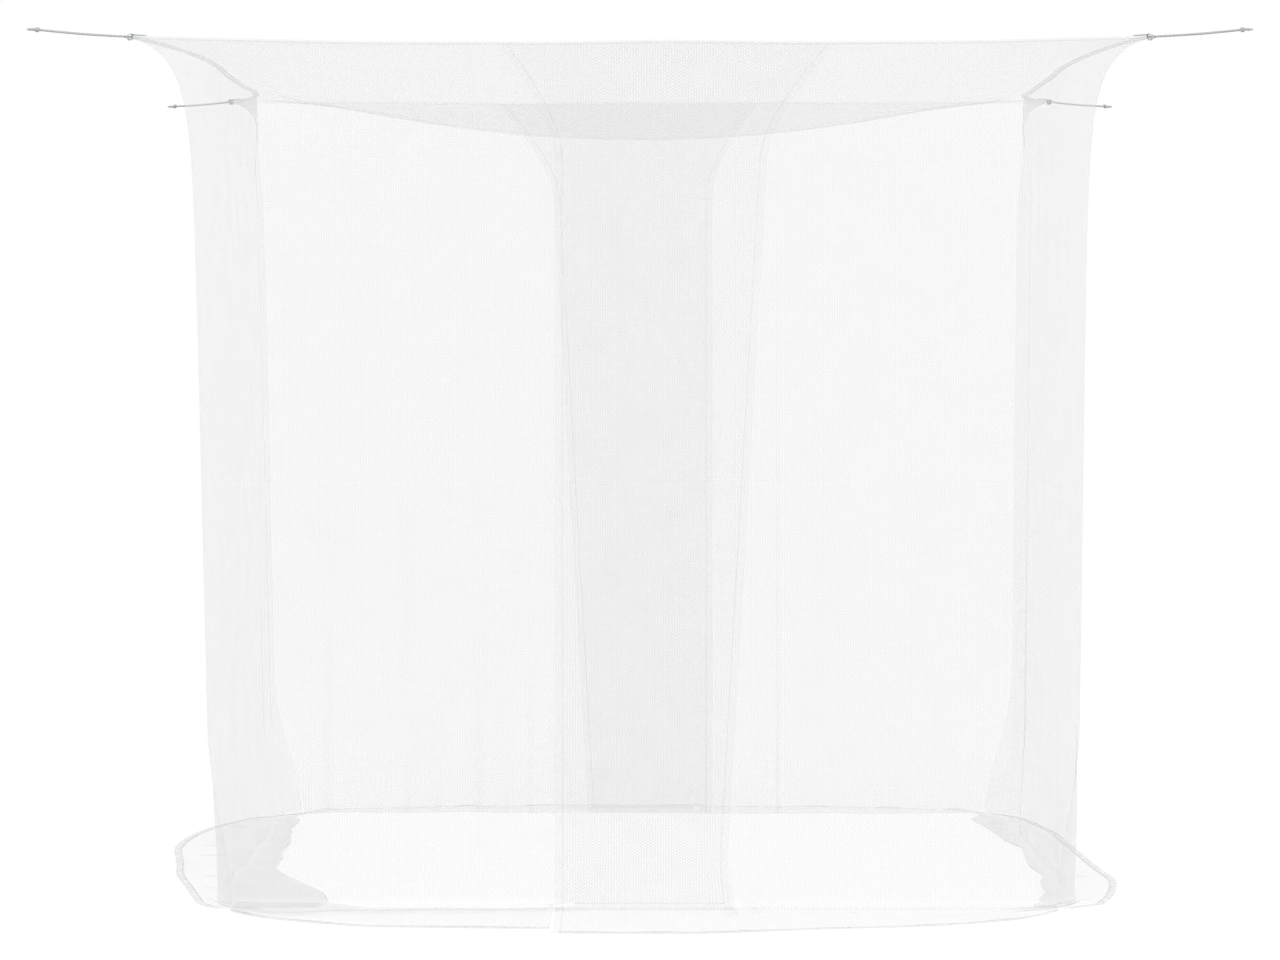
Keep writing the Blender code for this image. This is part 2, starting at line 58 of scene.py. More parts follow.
# %% [markdown]
# ## Camera
#
# The photograph looks level at the front of the net from well back, so a long lens at a distance
# keeps its near and far edges in proportion. The floor shows inside the net because the camera
# stands a little over a metre above it. The frame's zero height is where the cords pull, so the
# camera's height is below zero.

# %% Camera
CAMERA_BACK = 9.145
CAMERA_HEIGHT = -0.7165
CAMERA_PITCH = 1.754
LENS = 104.8
SENSOR = 36.0

bpy.ops.object.camera_add(location=(0, -CAMERA_BACK, CAMERA_HEIGHT))
camera = bpy.context.object
camera.name = "photo_camera"
camera.rotation_euler = (math.radians(90 - CAMERA_PITCH), 0, 0)
camera.data.lens = LENS
camera.data.sensor_width = SENSOR
SCENE.camera = camera
print("field of view:", round(math.degrees(camera.data.angle), 1), "degrees")

# %% [markdown]
# ## Grids and tubes
#
# Cloth and cord are both grids of points. For cloth, a grid primitive is made with a point for
# each place on the cloth, and every point is then moved to where it hangs. Its UV map holds the
# same point on the cut cloth in metres, so that a knit pattern keeps its size in every fold. A
# cord is such a grid rolled round its path, with its long edges merged and its ends filled. A
# curve with a round bevel would make a cord sooner, but its surface can't be braided.


# %% Grid helper
def grid_piece(name, places, cut, closer=None):
    """A grid whose points stand at places[row, column], and lie at cut[row, column] on the flat cloth.
    Closer says how much denser than flat the net is drawn together at each point."""
    rows, columns = places.shape[0] - 1, places.shape[1] - 1
    bpy.ops.object.select_all(action="DESELECT")
    bpy.ops.mesh.primitive_grid_add(x_subdivisions=columns, y_subdivisions=rows, size=1)
    piece = bpy.context.object
    piece.name = name
    mesh = piece.data
    mesh.name = name
    start = np.empty(3 * len(mesh.vertices), np.float32)
    mesh.vertices.foreach_get("co", start)
    column = np.rint((start[0::3] + 0.5) * columns).astype(int)
    row = np.rint((0.5 - start[1::3]) * rows).astype(int)
    mesh.vertices.foreach_set("co", places[row, column].astype(np.float32).ravel())
    corner = np.empty(len(mesh.loops), np.int32)
    mesh.loops.foreach_get("vertex_index", corner)
    mesh.uv_layers[0].uv.foreach_set("vector", cut[row[corner], column[corner]].astype(np.float32).ravel())
    if closer is not None:
        drawn = mesh.attributes.new("drawn_together", "FLOAT", "POINT")
        drawn.data.foreach_set("value", closer[row, column].astype(np.float32))
    mesh.update()
    mesh.shade_smooth()
    return piece


def give_thickness(piece, thick):
    shell = piece.modifiers.new("thickness", "SOLIDIFY")
    shell.thickness = thick
    shell.offset = 0.0
    bpy.context.view_layer.objects.active = piece
    bpy.ops.object.modifier_apply(modifier=shell.name)


# %% Tube helper
def unit(vectors):
    return vectors / np.linalg.norm(vectors, axis=-1, keepdims=True)


def tube_piece(name, path, reference, section, sides, closed=False):
    """A grid rolled round a path. Section gives how far each point stands across and up from it."""
    along = np.gradient(path, axis=0)
    if closed:
        along[0] = along[-1] = path[1] - path[-2]
    across = unit(np.cross(along, np.asarray(reference, float)))
    up = unit(np.cross(across, along))
    length = np.concatenate([[0.0], np.cumsum(np.linalg.norm(np.diff(path, axis=0), axis=1))])
    angle = np.linspace(0, 2 * math.pi, sides + 1)
    turn, reach = np.meshgrid(angle, length)
    right, rise = section(turn, reach)
    places = path[:, None] + across[:, None] * right[..., None] + up[:, None] * rise[..., None]
    cut = np.stack([turn / (2 * math.pi), reach], axis=-1)
    piece = grid_piece(name, places, cut)
    bpy.ops.object.mode_set(mode="EDIT")
    bpy.ops.mesh.select_all(action="SELECT")
    bpy.ops.mesh.remove_doubles(threshold=0.00001)
    if not closed:
        bpy.ops.mesh.fill_holes(sides=0)
    bpy.ops.mesh.normals_make_consistent(inside=False)
    bpy.ops.object.mode_set(mode="OBJECT")
    return piece


# %% [markdown]
# ## Cords
#
# Each corner is drawn out by a braided white cord, 5 mm thick. It is nearly straight, because it
# carries the roof's weight, and sags by under 2 mm. It runs from the hitch on the corner's ribbon
# loop to a tied eye, which goes over a hook outside the picture. The braid is real relief: two
# sets of strands that cross on the cord's surface.

# %% Corner and cord sizes
TIP_X, TIP_Y = 1.105, 0.995
CORNERS = {
    "front_left": (-1, -1),
    "front_right": (1, -1),
    "back_left": (-1, 1),
    "back_right": (1, 1),
}
UP = np.array((0.0, 0.0, 1.0))
LOOP_REACH = 0.015
HITCH_RADIUS = 0.007
HITCH_TUBE = 0.0025
TOUCH_GAP = 0.0003
CORD_START = LOOP_REACH + HITCH_RADIUS + HITCH_TUBE + TOUCH_GAP
CORD_THICK = 0.005
CORD_LENGTH = 0.224
CORD_ROUTE = ((0.0, 0.0), (0.25, -0.0011), (0.5, -0.0016), (0.75, -0.0011), (1.0, 0.0))
CORD_POINTS = 224


def corner_frame(corner):
    """The corner's tip, its outward diagonal, and the level direction square to that."""
    x, y = CORNERS[corner]
    out = np.array((x, y, 0)) / math.sqrt(2)
    return np.array((x * TIP_X, y * TIP_Y, 0)), out, np.cross(out, UP)


def smooth_route(points, count):
    """Points at even steps along a smooth curve through the route's own points."""
    points = np.asarray(points, float)
    ends = [points[0] * 2 - points[1], *points, points[-1] * 2 - points[-2]]
    made = []
    for i in range(count + 1):
        t = i / count * (len(points) - 1)
        k = min(int(t), len(points) - 2)
        f = t - k
        a, b, c, d = ends[k : k + 4]
        bend = (2 * a - 5 * b + 4 * c - d) * f + (3 * b - a - 3 * c + d) * f * f
        made.append(b + 0.5 * ((c - a) + bend) * f)
    return np.array(made)


# %% Braided cords
STRANDS = 4
STRAND_PITCH = 0.012
STRAND_RELIEF = 0.06
END_TAPER = 0.6
ROUNDED_END = 0.003


def braided(radius, rounded=0.0):
    """A round section whose surface rises and falls with two crossing sets of strands."""

    def section(turn, reach):
        from_end = np.minimum(reach, reach.max() - reach)
        taper = 1 - END_TAPER * np.clip(1 - from_end / rounded, 0, 1) ** 2 if rounded else 1.0
        twist = 2 * math.pi * reach / STRAND_PITCH
        strand = np.maximum(np.cos(STRANDS * turn + twist), np.cos(STRANDS * turn - twist))
        r = radius * (1 + STRAND_RELIEF * (strand - 0.5)) * taper
        return r * np.cos(turn), r * np.sin(turn)

    return section


cords, cord_paths = {}, {}
for corner in CORNERS:
    tip, out, across = corner_frame(corner)
    start = tip + out * CORD_START
    route = [start + out * CORD_LENGTH * share + UP * sag for share, sag in CORD_ROUTE]
    path = smooth_route(route, CORD_POINTS)
    surface = braided(CORD_THICK / 2, ROUNDED_END)
    cords[corner] = tube_piece(f"{corner}_braided_cord", path, UP, surface, 16)
    cord_paths[corner] = path
print("cord length:", round(float(np.linalg.norm(np.diff(path, axis=0), axis=1).sum()), 4), "m")

# %% [markdown]
# ## Hitches and eyes
#
# The cord goes twice round the ribbon loop, so its hitch is two turns of cord side by side. At the
# far end it is bent back into an eye and whipped with three turns of itself. Torus primitives
# would do for the hitch alone. All of them are modelled as the cord lies, with the tube helper:
# paths of a ring, a teardrop and a short helix.

# %% Hitches
EYE_RADIUS = 0.0095
EYE_TUBE = 0.0022
EYE_NARROWS, EYE_NARROW_TURN = 0.45, 0.7
KNOT_RADIUS = 0.0055
WHIP_TUBE = 0.0018
WHIP_TURNS = 3
TURN_TUBE = 0.0012


def joined(name, pieces):
    bpy.ops.object.select_all(action="DESELECT")
    for piece in pieces:
        piece.select_set(True)
    bpy.context.view_layer.objects.active = pieces[0]
    bpy.ops.object.join()
    pieces[0].name = name
    pieces[0].data.name = name
    return pieces[0]


hitches = {}
for corner in CORNERS:
    tip, out, across = corner_frame(corner)
    turns = []
    for level in (-1, 1):
        angle = np.linspace(0, 2 * math.pi, 61)
        ring = np.outer(np.cos(angle), out) + np.outer(np.sin(angle), across)
        rise = TURN_TUBE * (level + 0.25 * np.sin(angle))
        path = tip + out * LOOP_REACH + ring * HITCH_RADIUS + np.outer(rise, UP)
        turns.append(tube_piece(f"turn_{level}", path, UP, braided(TURN_TUBE), 12, closed=True))
    hitches[corner] = joined(f"{corner}_hitch_turns", turns)


# %% Tied eyes
def tied_eye(corner):
    tip, out, across = corner_frame(corner)
    knot = tip + out * (CORD_START + CORD_LENGTH + TOUCH_GAP + KNOT_RADIUS)
    centre = knot + out * (KNOT_RADIUS + EYE_RADIUS - EYE_TUBE)
    angle = np.linspace(-math.pi, math.pi, 73)
    narrow = 1 - EYE_NARROWS * np.exp(-(((math.pi - abs(angle)) / EYE_NARROW_TURN) ** 2))
    ring = np.outer(np.cos(angle), out) + np.outer(np.sin(angle) * narrow, across)
    loop = tube_piece("eye_loop", centre + ring * EYE_RADIUS, UP, braided(EYE_TUBE), 14, closed=True)
    turn = np.linspace(0, 2 * math.pi * WHIP_TURNS, 25 * WHIP_TURNS)
    wound = np.outer(np.cos(turn), across) + np.outer(np.sin(turn), UP)
    slide = np.outer(turn / turn[-1] - 0.5, out) * 2 * (KNOT_RADIUS - WHIP_TUBE)
    path = knot + wound * (KNOT_RADIUS - WHIP_TUBE) + slide
    whipping = tube_piece("eye_whipping", path, out, braided(WHIP_TUBE), 10)
    ends = np.array([knot - out * KNOT_RADIUS, knot, knot + out * KNOT_RADIUS * 0.9])
    core = tube_piece("eye_core", smooth_route(ends, 10), UP, braided(EYE_TUBE), 14)
    return joined(f"{corner}_tied_eye", [loop, whipping, core])


eyes = {corner: tied_eye(corner) for corner in CORNERS}
print("hitches and eyes:", len(hitches) + len(eyes))

# %% [markdown]
# ## Shape of the hanging cloth
#
# A wall is a flat plane that the cords change. Its top corners are drawn out into ears, whose pull
# fades within a few centimetres below the roof. Low down, the corners are rounded. These formulas
# are the frame's own, so that the fine cloth lies in the solids that it stands for. A cloth
# simulation would fall more freely, but not the same twice, and not in the solids' place. Seen
# from outside, each side is measured from its left corner to its right one by s, from the middle.

# %% Overall sizes
HANG_HEIGHT = 1.920
EDGE_DROP = 0.008
ROOF_SAG = 0.150
WALL_TOP = {"front": 0.950, "back": 0.930, "left": 0.985, "right": 0.985}
WALL_FOOT = {"front": 0.950, "back": 0.862, "left": 0.945, "right": 0.965}
EAR_FALL, EAR_POWER, EAR_START = 0.055, 0.75, 0.35
LIFT_FALL = 0.300
CORNER_TUCK, TUCK_HEIGHT, TUCK_START = 0.040, 0.400, 0.88
BACK_BELLY = 0.034
BELLY_FADE_TOP, BELLY_FADE_FOOT = 0.15, 0.32
TAPE_WIDE, TAPE_HIGH = 0.016, 0.008
HEM_WIDE = 0.018
LAYER_GAP = 0.010
SEAM_HEIGHT = HANG_HEIGHT - EDGE_DROP - TAPE_HIGH / 2 - 0.0008

SIDES = {
    "front": {"out": (0, -1, 0), "right": (1, 0, 0), "before": "left", "after": "right"},
    "right": {"out": (1, 0, 0), "right": (0, 1, 0), "before": "front", "after": "back"},
    "back": {"out": (0, 1, 0), "right": (-1, 0, 0), "before": "right", "after": "left"},
    "left": {"out": (-1, 0, 0), "right": (0, -1, 0), "before": "back", "after": "front"},
}
TIP = {"front": TIP_Y, "back": TIP_Y, "left": TIP_X, "right": TIP_X}


def smooth(t):
    t = np.clip(t, 0.0, 1.0)
    return t * t * (3 - 2 * t)


def mix(a, b, t):
    return a + (b - a) * t


def plane_distance(side, height):
    return mix(WALL_FOOT[side], WALL_TOP[side], height / SEAM_HEIGHT)


def ear(side, height):
    drop = max(0.0, SEAM_HEIGHT - height)
    return (TIP[side] - WALL_TOP[side]) * math.exp(-((drop / EAR_FALL) ** EAR_POWER))


def tuck(height):
    return CORNER_TUCK * (1 - smooth(height / TUCK_HEIGHT))


def belly(height):
    """How far the side walls stand out at their back ends, between the roof and the floor."""
    return BACK_BELLY * smooth((SEAM_HEIGHT - height) / BELLY_FADE_TOP) * smooth(height / BELLY_FADE_FOOT)


def corner_distance(side, height, along=None):
    """How far a corner lies out from the middle, along a side that ends there."""
    wide = belly(height) if along == "back" else 0.0
    return plane_distance(side, height) + ear(side, height) - tuck(height) + wide


def ends(side, height):
    """Where a side's two corners are, along it."""
    low = -corner_distance(SIDES[side]["before"], height, side)
    return low, corner_distance(SIDES[side]["after"], height, side)


def reach(side, s, height):
    """Where a place along a side lies between its two corners, from -1 to 1."""
    low, high = ends(side, height)
    return 2 * (s - low) / (high - low) - 1


def side_belly(side, s, height):
    """The same fullness on a side wall itself, which fades from its back end to its middle."""
    to_back = {"left": -1, "right": 1}.get(side, 0)
    return belly(height) * smooth(to_back * s / ends(side, height)[1])


def ear_weight(a):
    return (np.maximum(0.0, np.abs(a) - EAR_START) / (1 - EAR_START)) ** 2


def tuck_weight(a):
    return (np.maximum(0.0, np.abs(a) - TUCK_START) / (1 - TUCK_START)) ** 2


# %% [markdown]
# ## Folds
#
# Net never hangs quite flat. Broad soft folds grow towards the floor, fine upright ripples run
# down every wall, and creases fan out from the corners where the cords pull. Each is a small
# formula that is added to the wall's distance out, the same for both layers of an overlap, so
# that they never touch. Displacing the cloth by a noise texture is less work, but its bumps are
# round, where the folds of hanging cloth run down.

# %% Folds
FOLDS = {
    "front": [(-0.60, 0.100, 0.012, 0.60)],
    "back": [(0.48, 0.080, 0.016, 0.90), (0.24, 0.070, 0.012, 0.70), (-0.50, 0.090, 0.014, 1.10)],
    "left": [(-0.50, 0.120, 0.006, 0.90), (0.36, 0.120, 0.006, 0.75)],
    "right": [(-0.45, 0.120, 0.011, 0.80), (0.42, 0.120, 0.005, 0.95), (-0.86, 0.030, 0.016, 0.42)],
}
FLAT_BAND, FOLD_BAND = 0.030, 0.120
RIPPLES = ((0.41, 0.0026, 0.4), (0.24, 0.0013, 1.9), (0.131, 0.0005, 4.1), (0.071, 0.0003, 2.6))
RIPPLE_DEPTH = {"front": 0.9, "back": 1.0, "left": 1.1, "right": 1.2}
RIPPLE_SWAY, SWAY_RATE = 0.35, 2.1
RIPPLE_START = 0.25
HELD_SHARE = 0.04
CREASE_DEPTH = 0.0016
CREASE_PLACE = 0.13
CREASE_COUNT = 10
WAVE_DEPTH = 0.0018
EDGE_DROOP = {"front": 0.0, "back": 0.0, "left": 0.014, "right": 0.020}
PLEATS = {
    "front": [(0.194, 0.030, 0.120, 0.95), (0.250, 0.050, 0.070, 0.60)],
    "back": [
        (-0.370, 0.016, 1.60, 0.50), (0.840, 0.045, 0.85, 0.34), (0.740, 0.045, 0.28, 0.30),
        (0.632, 0.045, 0.85, 0.34), (0.550, 0.035, 0.34, 0.30), (0.435, 0.040, 0.62, 0.36),
        (0.360, 0.030, 0.28, 0.30), (0.296, 0.035, 0.52, 0.34),
    ],
    "left": [],
    "right": [],
}
PLEAT_DEEP = 0.0025
TIGHTEST = 0.45


def fold_flatness(side, s, height):
    """0 beside a slanting fold line, where the cloth has to be flat, and 1 away from it."""
    flat = 1.0
    for curtain in CURTAINS.values():
        if curtain["side"] == side:
            away = np.abs(curtain["hand"] * s - fold_line(curtain, height))
            flat = flat * smooth((away - FLAT_BAND) / FOLD_BAND)
    return flat


def soft_folds(side, s, height):
    depth = 0.0
    for place, half_width, most, start in FOLDS[side]:
        grown = max(0.0, 1 - height / start)
        depth = depth + most * grown * np.exp(-(((s - place) / half_width) ** 2))
    return depth * fold_flatness(side, s, height)


def pleats(side, s, height):
    """Where narrow folds draw the cloth together: its shift sideways and outward, and how much
    closer its yarn lies there. Past a tightness of 1 a fold laps over itself."""
    sideways, outward, squeeze = 0.0, 0.0, np.zeros_like(s)
    for place, half_width, top, tightness in PLEATS[side]:
        t = (s - place) / half_width
        grown = max(0.0, 1 - height / top) * np.exp(-(t**2)) * fold_flatness(side, s, height)
        sideways = sideways - tightness * half_width * t * grown
        outward = outward + PLEAT_DEEP * t * grown
        squeeze = squeeze + tightness * (1 - 2 * t**2) * grown
    closer = 1 / np.maximum(TIGHTEST, np.abs(1 - squeeze)) - 1
    return sideways, outward, np.maximum(0.0, closer)


def upright_ripples(side, s, height):
    """Fine ripples that wander a little on their way down."""
    drop = SEAM_HEIGHT - height
    depth = 0.0
    for index, (length, most, phase) in enumerate(RIPPLES):
        sway = RIPPLE_SWAY * math.sin(SWAY_RATE * height + phase) + phase * (1 + list(SIDES).index(side))
        depth = depth + most * np.sin(2 * math.pi * s / length + sway + index)
    grown = RIPPLE_DEPTH[side] * smooth(drop / RIPPLE_START) * (0.6 + 0.4 * (1 - height / SEAM_HEIGHT))
    return depth * grown


def corner_creases(side, s, height):
    """Creases that fan out from both upper corners."""
    drop = max(0.0, SEAM_HEIGHT - height)
    depth = 0.0
    for sign, corner in zip((-1, 1), ends(side, height)):
        away = np.maximum(0.0, sign * (corner - s))
        span = np.hypot(away, drop)
        fan = np.sin(CREASE_COUNT * np.arctan2(drop, away + 1e-9))
        depth = depth + fan * (span / CREASE_PLACE) * np.exp(1 - span / CREASE_PLACE)
    return CREASE_DEPTH * depth


def edge_wave(side, s):
    """How the roof's edges rise and fall between the corners."""
    a = reach(side, s, SEAM_HEIGHT)
    wave = np.sin(5.3 * s + 1.0 + list(SIDES).index(side)) + 0.5 * np.sin(13.1 * s + 0.6)
    return (WAVE_DEPTH * wave - EDGE_DROOP[side]) * (1 - a**2) ** 2


# %% Points of a wall
def wall_distance(side, s, height, layer=0.0, free=1.0):
    a = reach(side, s, height)
    near_corner = smooth((np.abs(a) - TUCK_START) / (1 - TUCK_START))
    loose = smooth((1 - np.abs(a)) / HELD_SHARE)
    return (
        plane_distance(side, height)
        + ear(side, height) * ear_weight(a)
        - tuck(height) * tuck_weight(a)
        + side_belly(side, s, height)
        + layer * (1 - near_corner)
        + soft_folds(side, s, height) * (1 - near_corner)
        + (upright_ripples(side, s, height) + corner_creases(side, s, height)) * loose * free
    )


def place_on(side, s, distance, height):
    """A point in space from its place along a side, its distance out and its height from the floor."""
    s, distance, height = np.broadcast_arrays(s, distance, height)
    frame_of = SIDES[side]
    across = s[..., None] * np.array(frame_of["right"]) + distance[..., None] * np.array(frame_of["out"])
    return across + (height[..., None] - HANG_HEIGHT) * UP


def wall_point(side, s, height, layer=0.0, free=1.0):
    """A point of a wall. Near the roof it follows the edge up into the ears."""
    near_roof = max(0.0, 1 - (SEAM_HEIGHT - height) / LIFT_FALL)
    lift = EDGE_DROP * ear_weight(reach(side, s, height)) + edge_wave(side, s)
    sideways, outward, _ = pleats(side, s, height)
    distance = wall_distance(side, s, height, layer, free) + outward * free
    return place_on(side, s + sideways * free, distance, height + lift * near_roof)


# %% [markdown]
# ## Curtains and skirt
#
# Each curtain is sewn along the roof and at its own corner, and its free edge laps past the
# middle. Its place is measured by q, from the middle towards its own corner. It folds back along a
# slanting line, which splits it into a fixed panel and a flap that turns. The skirt is the same
# cloth, bent out over the floor, and narrows towards the corners.

# %% Curtain sizes
CURTAINS = {
    "front_right": {
        "side": "front", "hand": 1, "layer": 1, "free_foot": 0.187, "lean": 0.0, "flare": 0.121,
        "fold_foot": 0.800, "lap_skirt": 0.060,
    },
    "front_left": {
        "side": "front", "hand": -1, "layer": -1, "free_foot": 0.187, "lean": 0.056, "flare": 0.133,
        "fold_foot": 0.150, "lap_skirt": 0.0,
    },
    "back_left": {
        "side": "back", "hand": 1, "layer": 1, "free_foot": 0.195, "lean": 0.0, "flare": 0.121,
        "fold_foot": 0.740, "lap_skirt": 0.030,
    },
    "back_right": {
        "side": "back", "hand": -1, "layer": -1, "free_foot": 0.140, "lean": 0.056, "flare": 0.133,
        "fold_foot": 0.150, "lap_skirt": 0.0,
    },
}
FLARE_POWER = 1.5
FLARE_HEIGHT = 0.237
FOLD_BELOW_FLARE = 0.0102
FOLD_TOP = SEAM_HEIGHT - FLARE_HEIGHT - FOLD_BELOW_FLARE
SKIRT_SLANT = 1.5
SKIRT_SPLIT = 0.002
SPLIT_CLEAR = 0.006
SKIRT_WIDE = {"front": 0.262, "back": 0.150, "left": 0.194, "right": 0.127}
SKIRT_SKEW = {"front": 0.0, "back": 0.0, "left": -0.66, "right": -0.25}
SKIRT_TRIM = {"front": 0.0, "back": 0.0, "left": 0.30, "right": 0.0}
SKIRT_CORNER = 0.035
LAP_HALF, LAP_FADE = 0.100, 0.350
SKIRT_RIPPLE = 0.008
RIPPLE_LENGTH = 0.190
CRINKLE_DEPTH, CRINKLE_LENGTH = 0.0020, 0.110
BEND = 0.008
NET_LIES = 0.0009
SKIRT_CLOSER = {"front": 0.0, "back": 0.0, "left": -0.33, "right": -0.33}


def skirt_width(side, s, lap=0.0):
    """The skirt narrows to both corners, and its skew makes it wider towards one of them."""
    a = np.clip(reach(side, s, 0.0), -1.0, 1.0)
    wide = mix(SKIRT_CORNER, SKIRT_WIDE[side] * (1 + SKIRT_SKEW[side] * a), 1 - a**4)
    wide = wide * (1 - SKIRT_TRIM[side] * smooth((-a - 0.1) / 0.7))
    return wide + lap * (1 - smooth((np.abs(s) - LAP_HALF) / LAP_FADE))


def free_edge(curtain, height):
    rise = max(0.0, 1 - (SEAM_HEIGHT - height) / FLARE_HEIGHT)
    lap = curtain["free_foot"] + curtain["lean"] * height + curtain["flare"] * rise**FLARE_POWER
    return -lap


def cloth_edge(curtain, height):
    return free_edge(curtain, height) + HEM_WIDE


def fold_line(curtain, height):
    return mix(curtain["fold_foot"], cloth_edge(curtain, FOLD_TOP), height / FOLD_TOP)


def split_line(curtain, height, out):
    """The line between panel and flap, which slants over the floor past the foot of the wall."""
    line = fold_line(curtain, height)
    if curtain["layer"] == 1:
        return line - SKIRT_SLANT * out
    partner = next(c for c in CURTAINS.values() if c["side"] == curtain["side"] and c is not curtain)
    beside = -free_edge(partner, 0.0) + SPLIT_CLEAR
    return mix(line, beside, np.minimum(1.0, out / BEND))


def split_gap(out):
    return SKIRT_SPLIT * np.minimum(1.0, out / BEND) / 2


def own_corner(curtain, height):
    return curtain["hand"] * ends(curtain["side"], height)[(curtain["hand"] + 1) // 2]


def layer_of(curtain):
    return curtain["layer"] * LAYER_GAP / 2


def split_flatness(side, s, out):
    flat = 1.0
    for curtain in CURTAINS.values():
        if curtain["side"] == side and curtain["layer"] == 1:
            away = np.abs(curtain["hand"] * s - split_line(curtain, 0.0, out))
            flat = flat * smooth((away - FLAT_BAND) / FOLD_BAND)
    return flat


def skirt_rise(side, s, out, share):
    """How far the flat part of a skirt stands off the floor, at a share of its width."""
    wave = 0.5 - 0.5 * np.cos(2 * math.pi * s / RIPPLE_LENGTH)
    rise = SKIRT_RIPPLE * wave * max(0.0, 4 * share * (1 - share)) ** 1.5 * split_flatness(side, s, out)
    crinkle = 0.5 + 0.5 * np.sin(2 * math.pi * s / CRINKLE_LENGTH + 4 * share + 2 * np.sin(9 * s))
    return rise + CRINKLE_DEPTH * crinkle * max(0.0, 4 * share * (1 - share))


# %% Rows of a cloth
UPPER_ROWS, LOWER_ROWS, FLOOR_ROWS = 14, 30, 12
UPPER_DROP = 0.210
INTO_SEAM = 0.003
FOOT_TOP = 0.030
FOOT_LIFT = {"front": 0.0, "back": 0.0, "left": 0.003, "right": 0.003}
SLUMPS = {
    "front": {
        "in": ((-0.94, 0), (-0.90, 0.085), (-0.79, 0.110), (-0.69, 0.094), (-0.60, 0.026), (-0.18, 0.016),
               (-0.10, 0), (0.80, 0), (0.86, 0.040), (0.92, 0.040), (0.95, 0)),
        "out": ((-0.94, 0), (-0.90, 0.070), (-0.76, 0.085), (-0.66, 0.045), (-0.30, 0.036), (-0.19, 0.030),
                (-0.17, 0), (0.86, 0), (0.92, 0.012), (0.95, 0)),
    },
    "back": {
        "in": ((-0.86, 0), (-0.70, 0.020), (-0.40, 0.022), (-0.10, 0.006), (0.30, 0.014), (0.86, 0)),
        "out": ((-0.86, 0), (0.86, 0)),
    },
    "left": {
        "in": ((-0.86, 0), (-0.66, 0.042), (-0.09, 0.062), (0.28, 0.073), (0.54, 0.156), (0.70, 0.215),
               (0.84, 0.245), (0.92, 0.18), (0.95, 0)),
        "out": ((-0.86, 0), (0.95, 0)),
    },
    "right": {
        "in": ((-0.95, 0), (-0.92, 0.050), (-0.84, 0.075), (-0.70, 0.040), (0.10, 0.016), (0.40, 0.060),
               (0.70, 0.080), (0.86, 0)),
        "out": ((-0.95, 0), (0.86, 0)),
    },
}
LEAST_SLUMP = 0.002
SLUMP_WAVE, SLUMP_WAVE_LENGTH = 0.012, 0.31
SLUMP_BLUR = (-0.024, -0.012, 0.0, 0.012, 0.024)
FOOT_LIFT_TOP, FOOT_LIFT_FADE, FOOT_LIFT_START = 0.017, 0.006, 0.002
SETTLE_ROUNDS = {"wall": 0, "slack": 2, "skirt": 8}
FOOT_ROUTE = (
    (0.0, 0.0, 0.0240), (0.20, 0.0, 0.0190), (0.75, 0.0, 0.0160), (1.0, 0.0, 0.0142), (1.06, 0.0, 0.0115),
    (1.0, 0.0, 0.0085), (0.8, 0.0, 0.0070), (0.4, 0.0, 0.0064), (0.0, 0.0, 0.0058), (0.0, 0.5, 0.0050),
    (0.0, 1.0, 0.0042), (0.0, 1.03, 0.0030), (0.0, 1.0, 0.0020), (0.0, 0.5, 0.0012), (0.0, 0.0, 0.0009),
)


def wall_heights(*extra):
    """Heights of the rows: close together under the roof, where the ears curve most."""
    upper = [SEAM_HEIGHT - UPPER_DROP * (i / UPPER_ROWS) ** 1.8 for i in range(UPPER_ROWS + 1)]
    lower = [mix(upper[-1], FOOT_TOP, i / LOWER_ROWS) for i in range(1, LOWER_ROWS + 1)]
    kept = [h for h in upper + lower if all(abs(h - e) > 0.004 for e in extra)]
    return sorted([*kept, *extra, SEAM_HEIGHT + INTO_SEAM], reverse=True)


def slump(side, s):
    """How far the slack at a wall's foot lies outward and inward on the floor."""
    wavy = 1 + SLUMP_WAVE * np.sin(2 * math.pi * s / SLUMP_WAVE_LENGTH)
    lies = []
    for way in ("out", "in"):
        along, depth = zip(*SLUMPS[side][way])
        near = [np.interp(s + shift, along, depth) for shift in SLUMP_BLUR]
        lies.append(LEAST_SLUMP + sum(near) / len(near) * wavy)
    return lies


def full_rows(heights):
    """Each row's height, its shares of the outward and inward slack, and of the flat skirt."""
    rows = [(height, 0.0, 0.0, 0.0) for height in heights]
    rows += [(height, outward, inward, 0.0) for outward, inward, height in FOOT_ROUTE]
    return rows + [(NET_LIES, 0.0, 0.0, step / FLOOR_ROWS) for step in range(1, FLOOR_ROWS + 1)]


def row_points(side, row, low, high, u, layer, lap, short=HEM_WIDE - INTO_SEAM):
    """A row's points in space and on the cut cloth. Low and high depend on height and distance out.
    How far out a point lies depends on its place along the side, and the place on how far out it
    lies where the row's ends slant, so a few rounds settle both."""
    height, outward, inward, share = row
    out = np.zeros_like(u)
    s = mix(low(height, out), high(height, out), u)
    part = "skirt" if share else "slack" if outward or inward else "wall"
    for _ in range(SETTLE_ROUNDS[part]):
        slack = slump(side, s)
        out = outward * slack[0] - inward * slack[1] + share * (skirt_width(side, s, lap) - short)
        ahead = np.maximum(out, 0.0)
        s = mix(low(height, ahead), high(height, ahead), u)
    lifted = FOOT_LIFT[side] * smooth((FOOT_LIFT_TOP - height) / FOOT_LIFT_FADE)
    lifted *= smooth((height - NET_LIES) / FOOT_LIFT_START)
    point = wall_point(side, s, height + lifted, layer, 1 - smooth(share / 0.5))
    point += out[:, None] * np.array(SIDES[side]["out"])
    point += skirt_rise(side, s, out, share)[:, None] * UP
    return point, np.stack([s, height - out], axis=-1)


